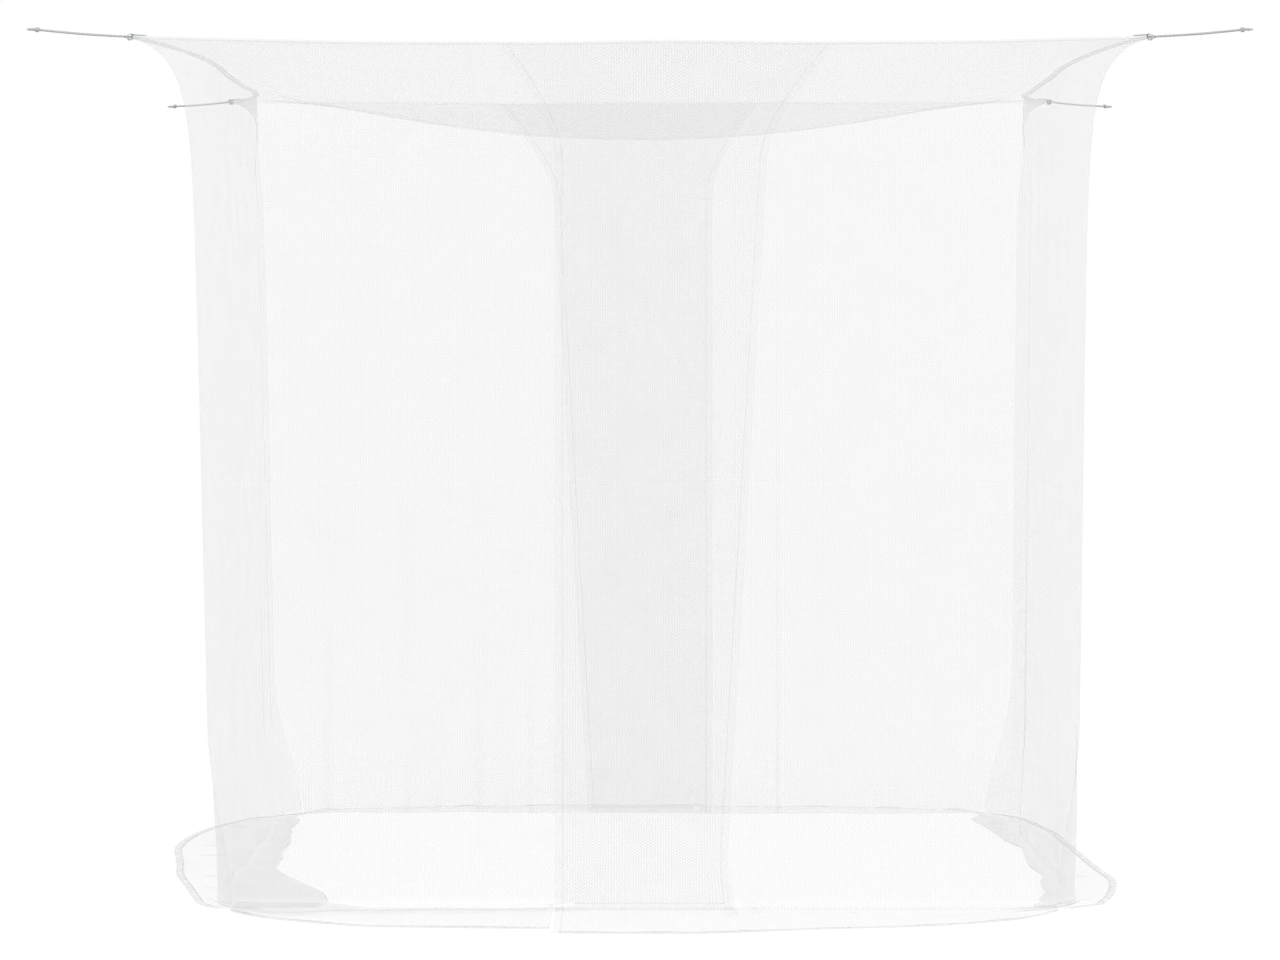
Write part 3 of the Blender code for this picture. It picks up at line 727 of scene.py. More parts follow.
def columns_for(low, high):
    """Enough columns for the narrow pleats across the widest row."""
    width = max(abs(float(high(h, 0.0) - low(h, 0.0))) for h in (0.0, FOLD_TOP, SEAM_HEIGHT))
    return math.ceil(width / COLUMN_STEP)


def cloth(name, side, rows, low, high, layer=0.0, lap=0.0):
    u = np.linspace(0, 1, columns_for(low, high) + 1)
    made = [row_points(side, row, low, high, u, layer, lap) for row in rows]
    places, cut = (np.array([pair[i] for pair in made]) for i in (0, 1))
    closer = []
    for s, (height, _, _, share) in zip(cut[..., 0], rows):
        closer.append(mix(pleats(side, s, height)[2], SKIRT_CLOSER[side], smooth(share / 0.4)))
    return grid_piece(name, places, cut, np.array(closer)), places


# %% [markdown]
# ## Net thickness
#
# The net is 0.4 mm thick, and each of its sheets gets that thickness once its grid is made.

# %% Net thickness
NET_THICK = 0.0004


# %% [markdown]
# ## Side walls
#
# A side wall is one cloth from the roof seam to the outer edge of its skirt, finished with a flat
# hem on the floor. The hem is a strip of the same net, folded over twice and stitched.

# %% Side walls
COLUMN_STEP = 0.0065
HEM_THICK = 0.0007
HEM_CURL = {"front": 0.0020, "back": 0.0008, "left": 0.0010, "right": 0.0010}
HEM_WAVE, HEM_WAVE_LENGTH = 0.35, 0.23
HEM_COLUMNS = 4


def foot_hem(name, side, low, high, layer=0.0, lap=0.0):
    """The hem along the outer edge of a skirt, flat on the floor."""
    u = np.linspace(0, 1, columns_for(low, high) + 1)
    places, cut = [], []
    for step in range(HEM_COLUMNS + 1):
        inward = HEM_WIDE * (1 - step / HEM_COLUMNS)
        s = mix(low(0.0, 0.0), high(0.0, 0.0), u)
        for _ in range(SETTLE_ROUNDS["skirt"]):
            out = skirt_width(side, s, lap) - inward
            s = mix(low(0.0, out), high(0.0, out), u)
        wave = 1 + HEM_WAVE * np.sin(2 * math.pi * s / HEM_WAVE_LENGTH + 2 * np.sin(7 * s))
        curl = HEM_CURL[side] * math.sin(math.pi * inward / HEM_WIDE) * wave * split_flatness(side, s, out)
        distance = wall_distance(side, s, 0.0, layer, 0.0) + out
        places.append(place_on(side, s, distance, NET_LIES + curl))
        cut.append(np.stack([s, np.full_like(s, inward)], axis=-1))
    piece = grid_piece(name, np.array(places), np.array(cut))
    give_thickness(piece, HEM_THICK)
    return piece


nets, hems = {}, {}
for side in ("left", "right"):

    def low(height, out, side=side):
        return ends(side, height)[0]

    def high(height, out, side=side):
        return ends(side, height)[1]

    rows = full_rows(wall_heights())
    nets[f"{side}_wall"], places = cloth(f"{side}_wall_net", side, rows, low, high)
    give_thickness(nets[f"{side}_wall"], NET_THICK)
    node = f"{side}_wall_bottom_hem"
    hems[node] = foot_hem(f"{side}_wall_foot_hem", side, low, high)

# %% [markdown]
# ## Curtains
#
# Panel and flap share the points of their fold line, so a closed curtain shows one unbroken cloth.
# Bisecting a finished curtain would leave a ragged row of small triangles there, so each part is
# made up to the line. The outer curtain of each pair has a skirt, and the inner one hangs just
# to the floor.

# %% Curtains
TUCKED_COLUMNS = 60
FLAP_START = FOLD_TOP - 0.004


def edge_hem(name, curtain, rows):
    """The hem down a curtain's free edge."""
    side, hand, layer = curtain["side"], curtain["hand"], layer_of(curtain)
    across = np.linspace(0, 1, HEM_COLUMNS + 1)

    def edge(height, out):
        return hand * free_edge(curtain, height)

    def inner(height, out):
        return hand * (free_edge(curtain, height) + HEM_WIDE)

    made = [row_points(side, row, edge, inner, across, layer, curtain["lap_skirt"], 0.0) for row in rows]
    places = np.array([point for point, _ in made])
    run = np.array([cut[:, 1] for _, cut in made])
    piece = grid_piece(name, places, np.stack([run, np.broadcast_to(across * HEM_WIDE, run.shape)], axis=-1))
    give_thickness(piece, HEM_THICK)
    return piece


def tucked_hem(name, curtain):
    """The bottom hem of an inner flap, which hangs just to the floor with no skirt."""
    side, hand, layer = curtain["side"], curtain["hand"], layer_of(curtain)
    u = np.linspace(0, 1, TUCKED_COLUMNS + 1)
    places, cut = [], []
    for step in range(HEM_COLUMNS + 1):
        height = mix(0.0004, HEM_WIDE, step / HEM_COLUMNS)
        s = hand * mix(cloth_edge(curtain, height), fold_line(curtain, height), u)
        places.append(wall_point(side, s, height, layer))
        cut.append(np.stack([s, np.full_like(s, height)], axis=-1))
    piece = grid_piece(name, np.array(places), np.array(cut))
    give_thickness(piece, HEM_THICK)
    return piece


def make_curtain(name, curtain):
    side, hand, layer, lap = curtain["side"], curtain["hand"], layer_of(curtain), curtain["lap_skirt"]

    def edge(height, out):
        return cloth_edge(curtain, height) - INTO_SEAM

    def panel_low(height, out):
        """Down the free edge, then along the fold line, then slanting over the floor."""
        if height > FOLD_TOP - 1e-6:
            return edge(height, out)
        return split_line(curtain, height, out) + split_gap(out)

    def flap_high(height, out):
        return split_line(curtain, height, out) - split_gap(out)

    def turned(function):
        return lambda height, out: hand * function(height, out)

    def corner(height, out):
        return own_corner(curtain, height)

    rows = full_rows(wall_heights(FOLD_TOP))
    node = f"{name}_panel"
    nets[node], places = cloth(
        f"{node}_net", side, rows, turned(panel_low), turned(corner), layer, lap
    )
    give_thickness(nets[node], NET_THICK)
    hems[f"{node}_bottom_hem"] = foot_hem(
        f"{name}_panel_foot_hem", side, turned(panel_low), turned(corner), layer, lap
    )
    upper = [row for row in rows if row[0] > FOLD_TOP - 1e-6]
    hems[f"{name}_upper_edge_hem"] = edge_hem(f"{name}_upper_edge_stitched", curtain, upper)

    heights = [FLAP_START] + [h for h in wall_heights(FOLD_TOP) if h < FLAP_START - 0.004]
    outer = curtain["layer"] == 1
    if outer:
        rows = full_rows(heights)
        hems[f"{name}_flap_bottom_hem"] = foot_hem(
            f"{name}_flap_foot_hem", side, turned(edge), turned(flap_high), layer, lap
        )
    else:
        heights = [h for h in heights if h > HEM_WIDE] + [HEM_WIDE - INTO_SEAM]
        rows = [(h, 0.0, 0.0, 0.0) for h in heights]
        hems[f"{name}_flap_bottom_hem"] = tucked_hem(f"{name}_flap_foot_hem", curtain)
    node = f"{name}_flap"
    nets[node], places = cloth(
        f"{node}_net", side, rows, turned(edge), turned(flap_high), layer, lap
    )
    give_thickness(nets[node], NET_THICK)
    down = rows[1:] if outer else [*rows[1:-1], (0.0004, 0.0, 0.0, 0.0)]
    hem_rows = [(FOLD_TOP, 0.0, 0.0, 0.0), *down]
    hems[f"{name}_flap_edge_hem"] = edge_hem(f"{name}_flap_edge_stitched", curtain, hem_rows)


for name, curtain in CURTAINS.items():
    make_curtain(name, curtain)

# %% [markdown]
# ## Roof
#
# The roof is one panel, drawn out at its corners, and its own weight makes it sag in the middle.
# Creases fan out from the corners here too, and shallow folds cross the sag. The sag is a product
# of two parabolas, which leaves the edges where they are, as a lattice or a brush would not. The
# edges are sewn to the walls inside a rounded binding.

# %% Roof panel
ROOF_ACROSS, ROOF_BACK = 110, 190
ROOF_FOLD = 0.0013
ROOF_FOLD_LENGTH, ROOF_WRINKLE_LENGTH = 0.21, 0.083
ROOF_HELD_SHARE = 0.08
ROOF_EDGE_SHARE = 0.3


def seam_line(side, s):
    """Distance out and height of the roof seam, at a place along a side."""
    weight = ear_weight(reach(side, s, SEAM_HEIGHT))
    distance = plane_distance(side, SEAM_HEIGHT) + ear(side, SEAM_HEIGHT) * weight
    return distance, HANG_HEIGHT - EDGE_DROP * (1 - weight) + edge_wave(side, s)


def roof_corner():
    x, y = TIP_X, TIP_Y
    for _ in range(8):
        x = seam_line("right", y)[0] - TAPE_WIDE / 2 + INTO_SEAM
        y = seam_line("front", x)[0] - TAPE_WIDE / 2 + INTO_SEAM
    return float(x), float(y)


def roof_creases(x, y):
    depth = 0.0
    for sign_x, sign_y in CORNERS.values():
        from_x, from_y = np.maximum(0, TIP_X - sign_x * x), np.maximum(0, TIP_Y - sign_y * y)
        span = np.hypot(from_x, from_y)
        fan = np.sin(CREASE_COUNT * np.arctan2(from_y, from_x + 1e-9))
        depth = depth + fan * (span / 0.2) * np.exp(1 - span / 0.2)
    return CREASE_DEPTH * depth


def make_roof():
    corner_x, corner_y = roof_corner()
    a, b = np.meshgrid(np.linspace(-1, 1, ROOF_ACROSS + 1), np.linspace(-1, 1, ROOF_BACK + 1))
    inset = TAPE_WIDE / 2 - INTO_SEAM
    right, left = seam_line("right", b * corner_y), seam_line("left", -b * corner_y)
    back, front = seam_line("back", -a * corner_x), seam_line("front", a * corner_x)
    x = a * (np.where(a > 0, right[0], left[0]) - inset)
    y = b * (np.where(b > 0, back[0], front[0]) - inset)
    edge = -EDGE_DROP * (1 - ear_weight(a) * ear_weight(b))
    side_wave = np.where(a > 0, edge_wave("right", b * corner_y), edge_wave("left", -b * corner_y))
    end_wave = np.where(b > 0, edge_wave("back", -a * corner_x), edge_wave("front", a * corner_x))
    near_side = smooth((np.abs(a) - 1 + ROOF_EDGE_SHARE) / ROOF_EDGE_SHARE)
    near_end = smooth((np.abs(b) - 1 + ROOF_EDGE_SHARE) / ROOF_EDGE_SHARE)
    inside = (1 - a * a) * (1 - b * b)
    folds = np.sin(2 * math.pi * y / ROOF_FOLD_LENGTH + 1.3 * np.sin(2.2 * x))
    folds = folds + 0.6 * np.sin(2 * math.pi * y / ROOF_WRINKLE_LENGTH + x)
    loose = smooth((1 - np.abs(a)) / ROOF_HELD_SHARE) * smooth((1 - np.abs(b)) / ROOF_HELD_SHARE)
    z = edge - ROOF_SAG * inside + side_wave * near_side + end_wave * near_end
    z += (ROOF_FOLD * folds + roof_creases(x, y)) * loose
    places = np.stack([x, y, z], axis=-1)
    return grid_piece("roof_net", places, places[..., :2]), places


nets["roof_panel"], places = make_roof()
give_thickness(nets["roof_panel"], NET_THICK)

# %% Roof bindings
BINDING_STEPS = 110
BINDING_SHORT = 0.004
GROOVE_DEPTH, GROOVE_PLACE, GROOVE_WIDE = 0.22, 0.55, 0.12


def binding_section(turn, reach):
    """A flattened round, with a groove along each face where the stitching pulls it in."""
    groove = 1 - GROOVE_DEPTH * np.exp(-(((np.abs(np.cos(turn)) - GROOVE_PLACE) / GROOVE_WIDE) ** 2))
    return TAPE_WIDE / 2 * np.cos(turn), TAPE_HIGH / 2 * 0.85 * np.sin(turn) * groove


bindings = {}
for side in SIDES:
    low, high = ends(side, SEAM_HEIGHT)
    s = np.linspace(low + BINDING_SHORT, high - BINDING_SHORT, BINDING_STEPS + 1)
    distance, height = seam_line(side, s)
    path = place_on(side, s, distance, height)
    bindings[side] = tube_piece(f"{side}_roof_binding", path, UP, binding_section, 20)

# %% [markdown]
# ## Corner loops
#
# Each cord pulls on a short ribbon, folded into a loop and sewn flat on the corner. The ribbon is
# a strip that is laid along the loop's own route, under the hitch and back over the corner, and
# then gets its thickness. A bent ring would be simpler, but it would have no ends sewn down.

# %% Ribbon loops
RIBBON_WIDE, RIBBON_THICK = 0.008, 0.001
LOOP_RADIUS = 0.007
LOOP_SEWN = 0.034
RIBBON_COLUMNS = 6
LOOP_STEPS = 120


def loop_route():
    """Height over the tip against d, along a ribbon folded into a loop with both ends sewn down."""
    under = TAPE_HIGH / 2 + TOUCH_GAP + RIBBON_THICK / 2
    over = under + RIBBON_THICK + TOUCH_GAP
    middle = LOOP_REACH - LOOP_RADIUS
    route = [(-LOOP_SEWN, under), (-0.5 * LOOP_SEWN, under), (0.0, under)]
    route += [(0.15 * middle, 0.5 * LOOP_RADIUS), (0.30 * middle, 0.0), (0.5 * middle, -0.64 * LOOP_RADIUS)]
    for step in range(9):
        angle = math.radians(-90 + 180 * step / 8)
        route.append((middle + LOOP_RADIUS * math.cos(angle), LOOP_RADIUS * math.sin(angle)))
    route += [(0.44 * middle, over), (-0.5 * LOOP_SEWN, over), (-LOOP_SEWN, over)]
    return route


def ribbon_loop(corner):
    tip, out, across = corner_frame(corner)
    path = smooth_route(loop_route(), LOOP_STEPS)
    width = np.linspace(-0.5, 0.5, RIBBON_COLUMNS + 1) * RIBBON_WIDE
    centre = tip + path[:, :1] * out + path[:, 1:] * UP
    places = centre[:, None] + width[None, :, None] * across
    run = np.concatenate([[0.0], np.cumsum(np.linalg.norm(np.diff(path, axis=0), axis=1))])
    cut = np.stack(np.broadcast_arrays(run[:, None], width[None, :]), axis=-1)
    piece = grid_piece(f"{corner}_ribbon_loop", places, cut)
    give_thickness(piece, RIBBON_THICK)
    return piece


loops = {corner: ribbon_loop(corner) for corner in CORNERS}

# %% [markdown]
# ## Materials
#
# Everything here is white polyester, and what tells the finishes apart is how they were made: knitted
# net, folded net, woven tape and braided cord. A helper turns the hex colours, which are written
# as a screen shows them, into the linear values that the renderer counts in. Another adds a
# shader node with its settings and links.


# %% Material helpers
def linear(code):
    """A colour such as #D8DADB as linear red, green, blue and an alpha of 1."""
    values = [int(code[i : i + 2], 16) / 255 for i in (1, 3, 5)]
    return (*[v / 12.92 if v <= 0.04045 else ((v + 0.055) / 1.055) ** 2.4 for v in values], 1.0)


def add(tree, kind, links, **settings):
    """A new node. Links gives each input either another node's output or a plain value."""
    node = tree.nodes.new(kind)
    for name, value in settings.items():
        setattr(node, name, value)
    for socket, source in links.items():
        if isinstance(source, bpy.types.NodeSocket):
            tree.links.new(source, node.inputs[socket])
        else:
            node.inputs[socket].default_value = source
    return node


def new_finish(name, roughness, **sockets):
    """A material with its shader, whose plain values sit on the shader's own sockets."""
    finish = bpy.data.materials.new(name)
    finish.use_nodes = True
    shader = finish.node_tree.nodes["Principled BSDF"]
    shader.inputs["Roughness"].default_value = roughness
    for socket, value in sockets.items():
        shader.inputs[socket.replace("_", " ")].default_value = value
    return finish, finish.node_tree, shader


# %% [markdown]
# ### Knitted net
#
# The net is warp-knitted from fine polyester yarn, with six-sided holes about 1.5 mm across. From
# across a room no hole shows, only a thin veil that greys what is behind it. Three sets of waves
# at 60 degrees to each other add up to a hexagonal pattern, and their sum sets how much yarn
# there is at each point. The holes are drawn 7 mm apart, because real ones would be under a pixel.
# Where a fold draws the net together, the same yarn covers less room: the cloth's attribute
# drawn_together says how much denser it is there. It is below zero on the side walls' skirts,
# where the net, which is gathered above, spreads out again.

# %% Knitted net
HOLE_SPACING = 0.007
YARN_LIGHT, YARN_SHADE = "#EDEDEE", "#E6E6E7"
HOLE_COVER, YARN_COVER = 0.064, 0.115


def knitted_net(name, density):
    finish, tree, shader = new_finish(name, 0.72, Sheen_Weight=0.12, Sheen_Roughness=0.5)
    place = add(tree, "ShaderNodeUVMap", {})
    total = None
    for angle in (0, 60, 120):
        turn = math.radians(angle)
        rate = 2 * math.pi / (HOLE_SPACING * math.sqrt(3) / 2)
        direction = (math.cos(turn) * rate, math.sin(turn) * rate, 0)
        wave = add(
            tree, "ShaderNodeVectorMath", {0: place.outputs["UV"], 1: direction}, operation="DOT_PRODUCT"
        )
        height = add(tree, "ShaderNodeMath", {0: wave.outputs["Value"]}, operation="COSINE")
        if total is None:
            total = height
        else:
            both = {0: total.outputs[0], 1: height.outputs[0]}
            total = add(tree, "ShaderNodeMath", both, operation="ADD")
    yarn = add(
        tree, "ShaderNodeMapRange",
        {"Value": total.outputs[0], "From Min": 2.4, "From Max": -1.5, "To Min": 0.0, "To Max": 1.0},
    )
    uneven = add(tree, "ShaderNodeTexNoise", {"Vector": place.outputs["UV"], "Scale": 9.0, "Detail": 0.0})
    thin = add(
        tree, "ShaderNodeMapRange",
        {"Value": uneven.outputs["Fac"], "From Min": 0.3, "From Max": 0.7, "To Min": 0.95, "To Max": 1.05},
    )
    cover = add(
        tree, "ShaderNodeMapRange",
        {"Value": yarn.outputs["Result"], "To Min": HOLE_COVER * density, "To Max": YARN_COVER * density},
    )
    even = add(
        tree, "ShaderNodeMath", {0: cover.outputs["Result"], 1: thin.outputs["Result"]}, operation="MULTIPLY"
    )
    drawn = add(tree, "ShaderNodeAttribute", {}, attribute_name="drawn_together")
    alpha = add(
        tree, "ShaderNodeMath", {0: even.outputs[0], 1: drawn.outputs["Fac"], 2: even.outputs[0]},
        operation="MULTIPLY_ADD",
    )
    tree.links.new(alpha.outputs[0], shader.inputs["Alpha"])
    tint = add(
        tree, "ShaderNodeMix",
        {"Factor": yarn.outputs["Result"], "A": linear(YARN_SHADE), "B": linear(YARN_LIGHT)},
        data_type="RGBA",
    )
    tree.links.new(tint.outputs["Result"], shader.inputs["Base Color"])
    return finish


CURTAIN_NET = knitted_net("knitted_curtain_net", 1.0)
NETS = {
    "left_wall": knitted_net("close_knitted_wall_net", 1.5),
    "roof_panel": knitted_net("open_knitted_roof_net", 0.72),
}
NETS["right_wall"] = NETS["left_wall"]


# %% [markdown]
# ### Stitched hems
#
# A hem is the same net in three layers, so it is denser and whiter, and a line of stitches runs
# near its inner edge. Stitches are about 3 mm long. They are drawn as 6 mm dashes, because real
# ones would be under a pixel. The dashes are painted grey: that grey is painted shade, for the
# thread is as white as the net. The hems of the free edges and of the back are single turns, so
# they are thinner. Thread as real pieces would be thousands of tiny tubes for no more to see.

# %% Stitched hem
STITCH_RUN, STITCH_SHARE = 0.006, 0.62
STITCH_WIDE = 0.0016
STITCH_INSET = 0.0035
STITCH_PLACE = HEM_WIDE - STITCH_INSET
# The stitches' grey is painted shade: the thread is as white as the hem.
HEM_WHITE, STITCH_SHADE = "#E7E7E8", "#D7D7D9"


def stitched_hem(name, cover, stitch_cover):
    finish, tree, shader = new_finish(name, 0.7, Sheen_Weight=0.12, Sheen_Roughness=0.5)
    place = add(tree, "ShaderNodeUVMap", {})
    parts = add(tree, "ShaderNodeSeparateXYZ", {"Vector": place.outputs["UV"]})
    run = add(
        tree, "ShaderNodeMath", {0: parts.outputs["X"], 1: STITCH_RUN}, operation="FLOORED_MODULO"
    )
    dash = add(
        tree, "ShaderNodeMath", {0: run.outputs[0], 1: STITCH_RUN * STITCH_SHARE}, operation="LESS_THAN"
    )
    off = add(tree, "ShaderNodeMath", {0: parts.outputs["Y"], 1: STITCH_PLACE}, operation="SUBTRACT")
    away = add(tree, "ShaderNodeMath", {0: off.outputs[0]}, operation="ABSOLUTE")
    line = add(tree, "ShaderNodeMath", {0: away.outputs[0], 1: STITCH_WIDE / 2}, operation="LESS_THAN")
    stitch = add(tree, "ShaderNodeMath", {0: dash.outputs[0], 1: line.outputs[0]}, operation="MULTIPLY")
    uneven = add(tree, "ShaderNodeTexNoise", {"Vector": place.outputs["UV"], "Scale": 60.0, "Detail": 1.0})
    varied = add(
        tree, "ShaderNodeMapRange",
        {"Value": uneven.outputs["Fac"], "From Min": 0.3, "From Max": 0.7, "To Min": cover * 0.88,
         "To Max": cover * 1.12},
    )
    alpha = add(
        tree, "ShaderNodeMix",
        {"Factor": stitch.outputs[0], "A": varied.outputs["Result"], "B": stitch_cover}, data_type="FLOAT",
    )
    tree.links.new(alpha.outputs["Result"], shader.inputs["Alpha"])
    # Painted shade along the stitch line, which is drawn greyer than the white hem.
    tint = add(
        tree, "ShaderNodeMix",
        {"Factor": stitch.outputs[0], "A": linear(HEM_WHITE), "B": linear(STITCH_SHADE)}, data_type="RGBA",
    )
    tree.links.new(tint.outputs["Result"], shader.inputs["Base Color"])
    return finish


FOOT_HEM = stitched_hem("folded_net_foot_hem", 0.27, 0.33)
BACK_FOOT_HEM = stitched_hem("thin_net_foot_hem", 0.11, 0.15)
EDGE_HEM = stitched_hem("narrow_net_edge_hem", 0.082, 0.11)


# %% [markdown]
# ### Woven tape
#
# The roof's seams are bound, and the corners' loops made, with plain-woven polyester tape. Its
# threads are 0.4 mm apart, which gives a fine dull grain. They are drawn as slanting bands about
# 4.5 mm apart, so that the grain shows at all. Only the loops are opaque: the bindings are as
# thin as a layer or two of net.

# %% Woven tape
def woven_tape(name, cover, light, shade):
    """Bands of light and shade thread across the tape, with a low bump between them."""
    finish, tree, shader = new_finish(name, 0.65, Sheen_Weight=0.15, Sheen_Roughness=0.4)
    place = add(tree, "ShaderNodeTexCoord", {})
    weave = add(
        tree, "ShaderNodeTexWave", {"Vector": place.outputs["Object"], "Scale": 80.0, "Distortion": 1.0},
        wave_type="BANDS", bands_direction="DIAGONAL",
    )
    tint = add(
        tree, "ShaderNodeMix",
        {"Factor": weave.outputs["Fac"], "A": linear(shade), "B": linear(light)}, data_type="RGBA",
    )
    tree.links.new(tint.outputs["Result"], shader.inputs["Base Color"])
    bump = add(tree, "ShaderNodeBump", {"Height": weave.outputs["Fac"], "Strength": 0.3, "Distance": 0.0003})
    tree.links.new(bump.outputs["Normal"], shader.inputs["Normal"])
    shader.inputs["Alpha"].default_value = cover
    return finish


# The side bindings are the same tape with more cover, and their darker colour is painted shade.
SIDE_BINDING = woven_tape("shaded_side_seam_binding", 0.19, "#E4E6E7", "#D6D8DA")
BINDINGS = {
    "front": woven_tape("woven_seam_binding", 0.12, "#E9EAEB", "#DEE0E1"),
    "back": woven_tape("thin_seam_binding", 0.06, "#E9EAEB", "#DEE0E1"),
    "left": SIDE_BINDING,
    "right": SIDE_BINDING,
}
RIBBON = woven_tape("woven_corner_ribbon", 1.0, "#E2E4E5", "#D5D7D9")


# %% [markdown]
# ### Braided cord
#
# The cords are braided from twisted polyester, dull white, and greyer in the grooves between the
# strands, where less light gets in. The strands' relief is in the mesh, so the colour follows the
# same two sets of waves on the cord's own UV map.

# %% Braided cord
CORD_GROOVE, CORD_CREST = "#B4B6B8", "#D2D4D5"


def braided_cord():
    """White polyester braid, a little greyer in the grooves between its strands."""
    finish, tree, shader = new_finish("braided_polyester_cord", 0.6, Sheen_Weight=0.1, Sheen_Roughness=0.4)
    place = add(tree, "ShaderNodeUVMap", {})
    parts = add(tree, "ShaderNodeSeparateXYZ", {"Vector": place.outputs["UV"]})
    around = add(
        tree, "ShaderNodeMath", {0: parts.outputs["X"], 1: 2 * math.pi * STRANDS}, operation="MULTIPLY"
    )
    along = add(
        tree, "ShaderNodeMath", {0: parts.outputs["Y"], 1: 2 * math.pi / STRAND_PITCH}, operation="MULTIPLY"
    )
    waves = []
    for operation in ("ADD", "SUBTRACT"):
        phase = add(tree, "ShaderNodeMath", {0: around.outputs[0], 1: along.outputs[0]}, operation=operation)
        waves.append(add(tree, "ShaderNodeMath", {0: phase.outputs[0]}, operation="COSINE"))
    crest = {0: waves[0].outputs[0], 1: waves[1].outputs[0]}
    strand = add(tree, "ShaderNodeMath", crest, operation="MAXIMUM")
    lit = add(
        tree, "ShaderNodeMapRange", {"Value": strand.outputs[0], "From Min": -0.2, "From Max": 1.0},
    )
    tint = add(
        tree, "ShaderNodeMix",
        {"Factor": lit.outputs["Result"], "A": linear(CORD_GROOVE), "B": linear(CORD_CREST)},
        data_type="RGBA",
    )
    tree.links.new(tint.outputs["Result"], shader.inputs["Base Color"])
    return finish


CORD = braided_cord()

# %% [markdown]
# ## Dressing the frame
#
# Each new piece takes its finish and stands for the solid in its place. All but the flaps and
# their hems ride on a body of the frame. The flaps and their hems ride on no body, so they do not
# turn or bend with the flap's body. A flap that turned as a whole would tear off its panel.

# %% Dress and ride
FOLD_SOFT = 0.070


def dress(piece, finish, node, body=None):
    piece.data.materials.clear()
    piece.data.materials.append(finish)
    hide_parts(node)
    if body:
        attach(piece, body)


def bend_with_flap(piece, curtain):
    """Works out points on the fold line and FOLD_SOFT further in, which nothing uses, and bakes the piece's
    place into its mesh.
    """
    top, foot = (np.array((fold_line(curtain, h), h)) for h in (FOLD_TOP, 0.0))
    run = foot - top
    inward = np.array((run[1], -run[0])) / np.linalg.norm(run)
    for q, height in (top, top + inward * FOLD_SOFT):
        distance = plane_distance(curtain["side"], height) + layer_of(curtain)
        tuple(place_on(curtain["side"], curtain["hand"] * q, distance, height))
    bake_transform(piece)


def is_tucked_hem(node):
    """The bottom hem of an inner flap is a single narrow turn, as light as the edge hems."""
    inner = [name for name, curtain in CURTAINS.items() if curtain["layer"] == -1]
    return any(node == f"{name}_flap_bottom_hem" for name in inner)


for node, piece in nets.items():
    body = None if node.endswith("_flap") else "canopy"
    dress(piece, NETS.get(node, CURTAIN_NET), node, body)
for node, piece in hems.items():
    body = None if "_flap_" in node else "canopy"
    finish = BACK_FOOT_HEM if node.startswith("back") else FOOT_HEM
    if "edge_hem" in node or is_tucked_hem(node):
        finish = EDGE_HEM
    dress(piece, finish, node, body)
for name, curtain in CURTAINS.items():
    bend_with_flap(nets[f"{name}_flap"], curtain)
    bend_with_flap(hems[f"{name}_flap_edge_hem"], curtain)
    bend_with_flap(hems[f"{name}_flap_bottom_hem"], curtain)
for side, piece in bindings.items():
    dress(piece, BINDINGS[side], f"{side}_roof_tape", "canopy")
for corner in CORNERS:
    dress(loops[corner], RIBBON, f"{corner}_corner_loop", "canopy")
    dress(hitches[corner], CORD, f"{corner}_cord_hitch", f"{corner}_hitch")
    dress(cords[corner], CORD, f"{corner}_cord", f"{corner}_hanging_cord")
    dress(eyes[corner], CORD, f"{corner}_hanging_eye", f"{corner}_hanging_cord")


for side in ("left", "right"):
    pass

# %% [markdown]
# ## Floor and light
#
# The photograph's background is plain white. The world and the floor show white to the camera,
# and to the rays that gloss and glass send out, while the light that falls on the net is an even
# studio light with a soft lamp low on each side. Three quarters of the floor's white is its own,
# and the rest is lit, so that it keeps the net's faint shadow.

# %% World and floor
SCENE.view_settings.view_transform = "Standard"
SCENE.cycles.transparent_max_bounces = 64
WORLD_LIGHT = 1.0
FLOOR_SIZE = 60
FLOOR_LIT = 0.24
FLOOR_OWN = 0.760


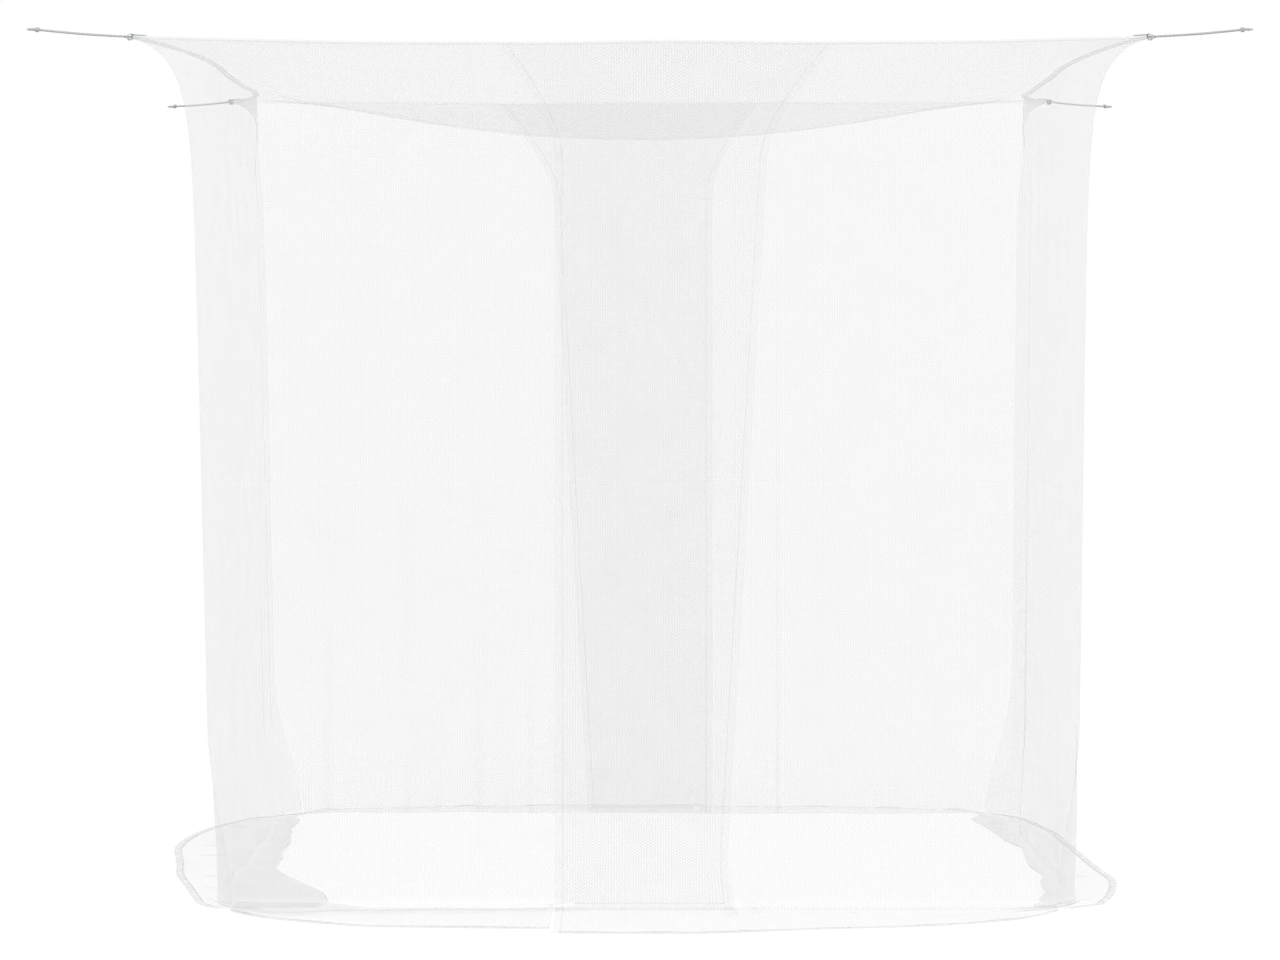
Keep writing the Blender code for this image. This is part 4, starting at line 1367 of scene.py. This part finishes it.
def seen_directly(tree):
    """1 for rays from the camera, and for what gloss and glass show, and 0 for light itself."""
    path = add(tree, "ShaderNodeLightPath", {})
    gloss = add(
        tree, "ShaderNodeMath",
        {0: path.outputs["Is Camera Ray"], 1: path.outputs["Is Glossy Ray"]}, operation="MAXIMUM",
    )
    return add(
        tree, "ShaderNodeMath",
        {0: gloss.outputs[0], 1: path.outputs["Is Transmission Ray"]}, operation="MAXIMUM",
    )


world = bpy.data.worlds.new("white_studio")
SCENE.world = world
world.use_nodes = True
strength = add(
    world.node_tree, "ShaderNodeMix",
    {"Factor": seen_directly(world.node_tree).outputs[0], "A": WORLD_LIGHT, "B": 1.0}, data_type="FLOAT",
)
background = world.node_tree.nodes["Background"]
background.inputs["Color"].default_value = (1, 1, 1, 1)
world.node_tree.links.new(strength.outputs["Result"], background.inputs["Strength"])

bpy.ops.mesh.primitive_plane_add(size=FLOOR_SIZE, location=(0, 0, -HANG_HEIGHT))
floor = bpy.context.object
floor.name = "studio_floor"
finish, tree, shader = new_finish("white_studio_floor", 1.0)
shader.inputs["Base Color"].default_value = (FLOOR_LIT, FLOOR_LIT, FLOOR_LIT, 1)
shader.inputs["Specular IOR Level"].default_value = 0.0
own = add(
    tree, "ShaderNodeMath", {0: seen_directly(tree).outputs[0], 1: FLOOR_OWN}, operation="MULTIPLY"
)
shader.inputs["Emission Color"].default_value = (1, 1, 1, 1)
tree.links.new(own.outputs[0], shader.inputs["Emission Strength"])
floor.data.materials.append(finish)


# %% Lamps
def soft_lamp(name, place, size, power):
    bpy.ops.object.light_add(type="AREA", location=place)
    lamp = bpy.context.object
    lamp.name = name
    lamp.data.shape = "DISK"
    lamp.data.size = size
    lamp.data.energy = power
    aim = Vector((0, 0, -HANG_HEIGHT / 2)) - Vector(place)
    lamp.rotation_euler = aim.to_track_quat("-Z", "Y").to_euler()


soft_lamp("left_lamp", (-5.5, -5.0, -0.6), 2.4, 128)
soft_lamp("right_lamp", (5.5, -4.5, -0.6), 2.4, 152)
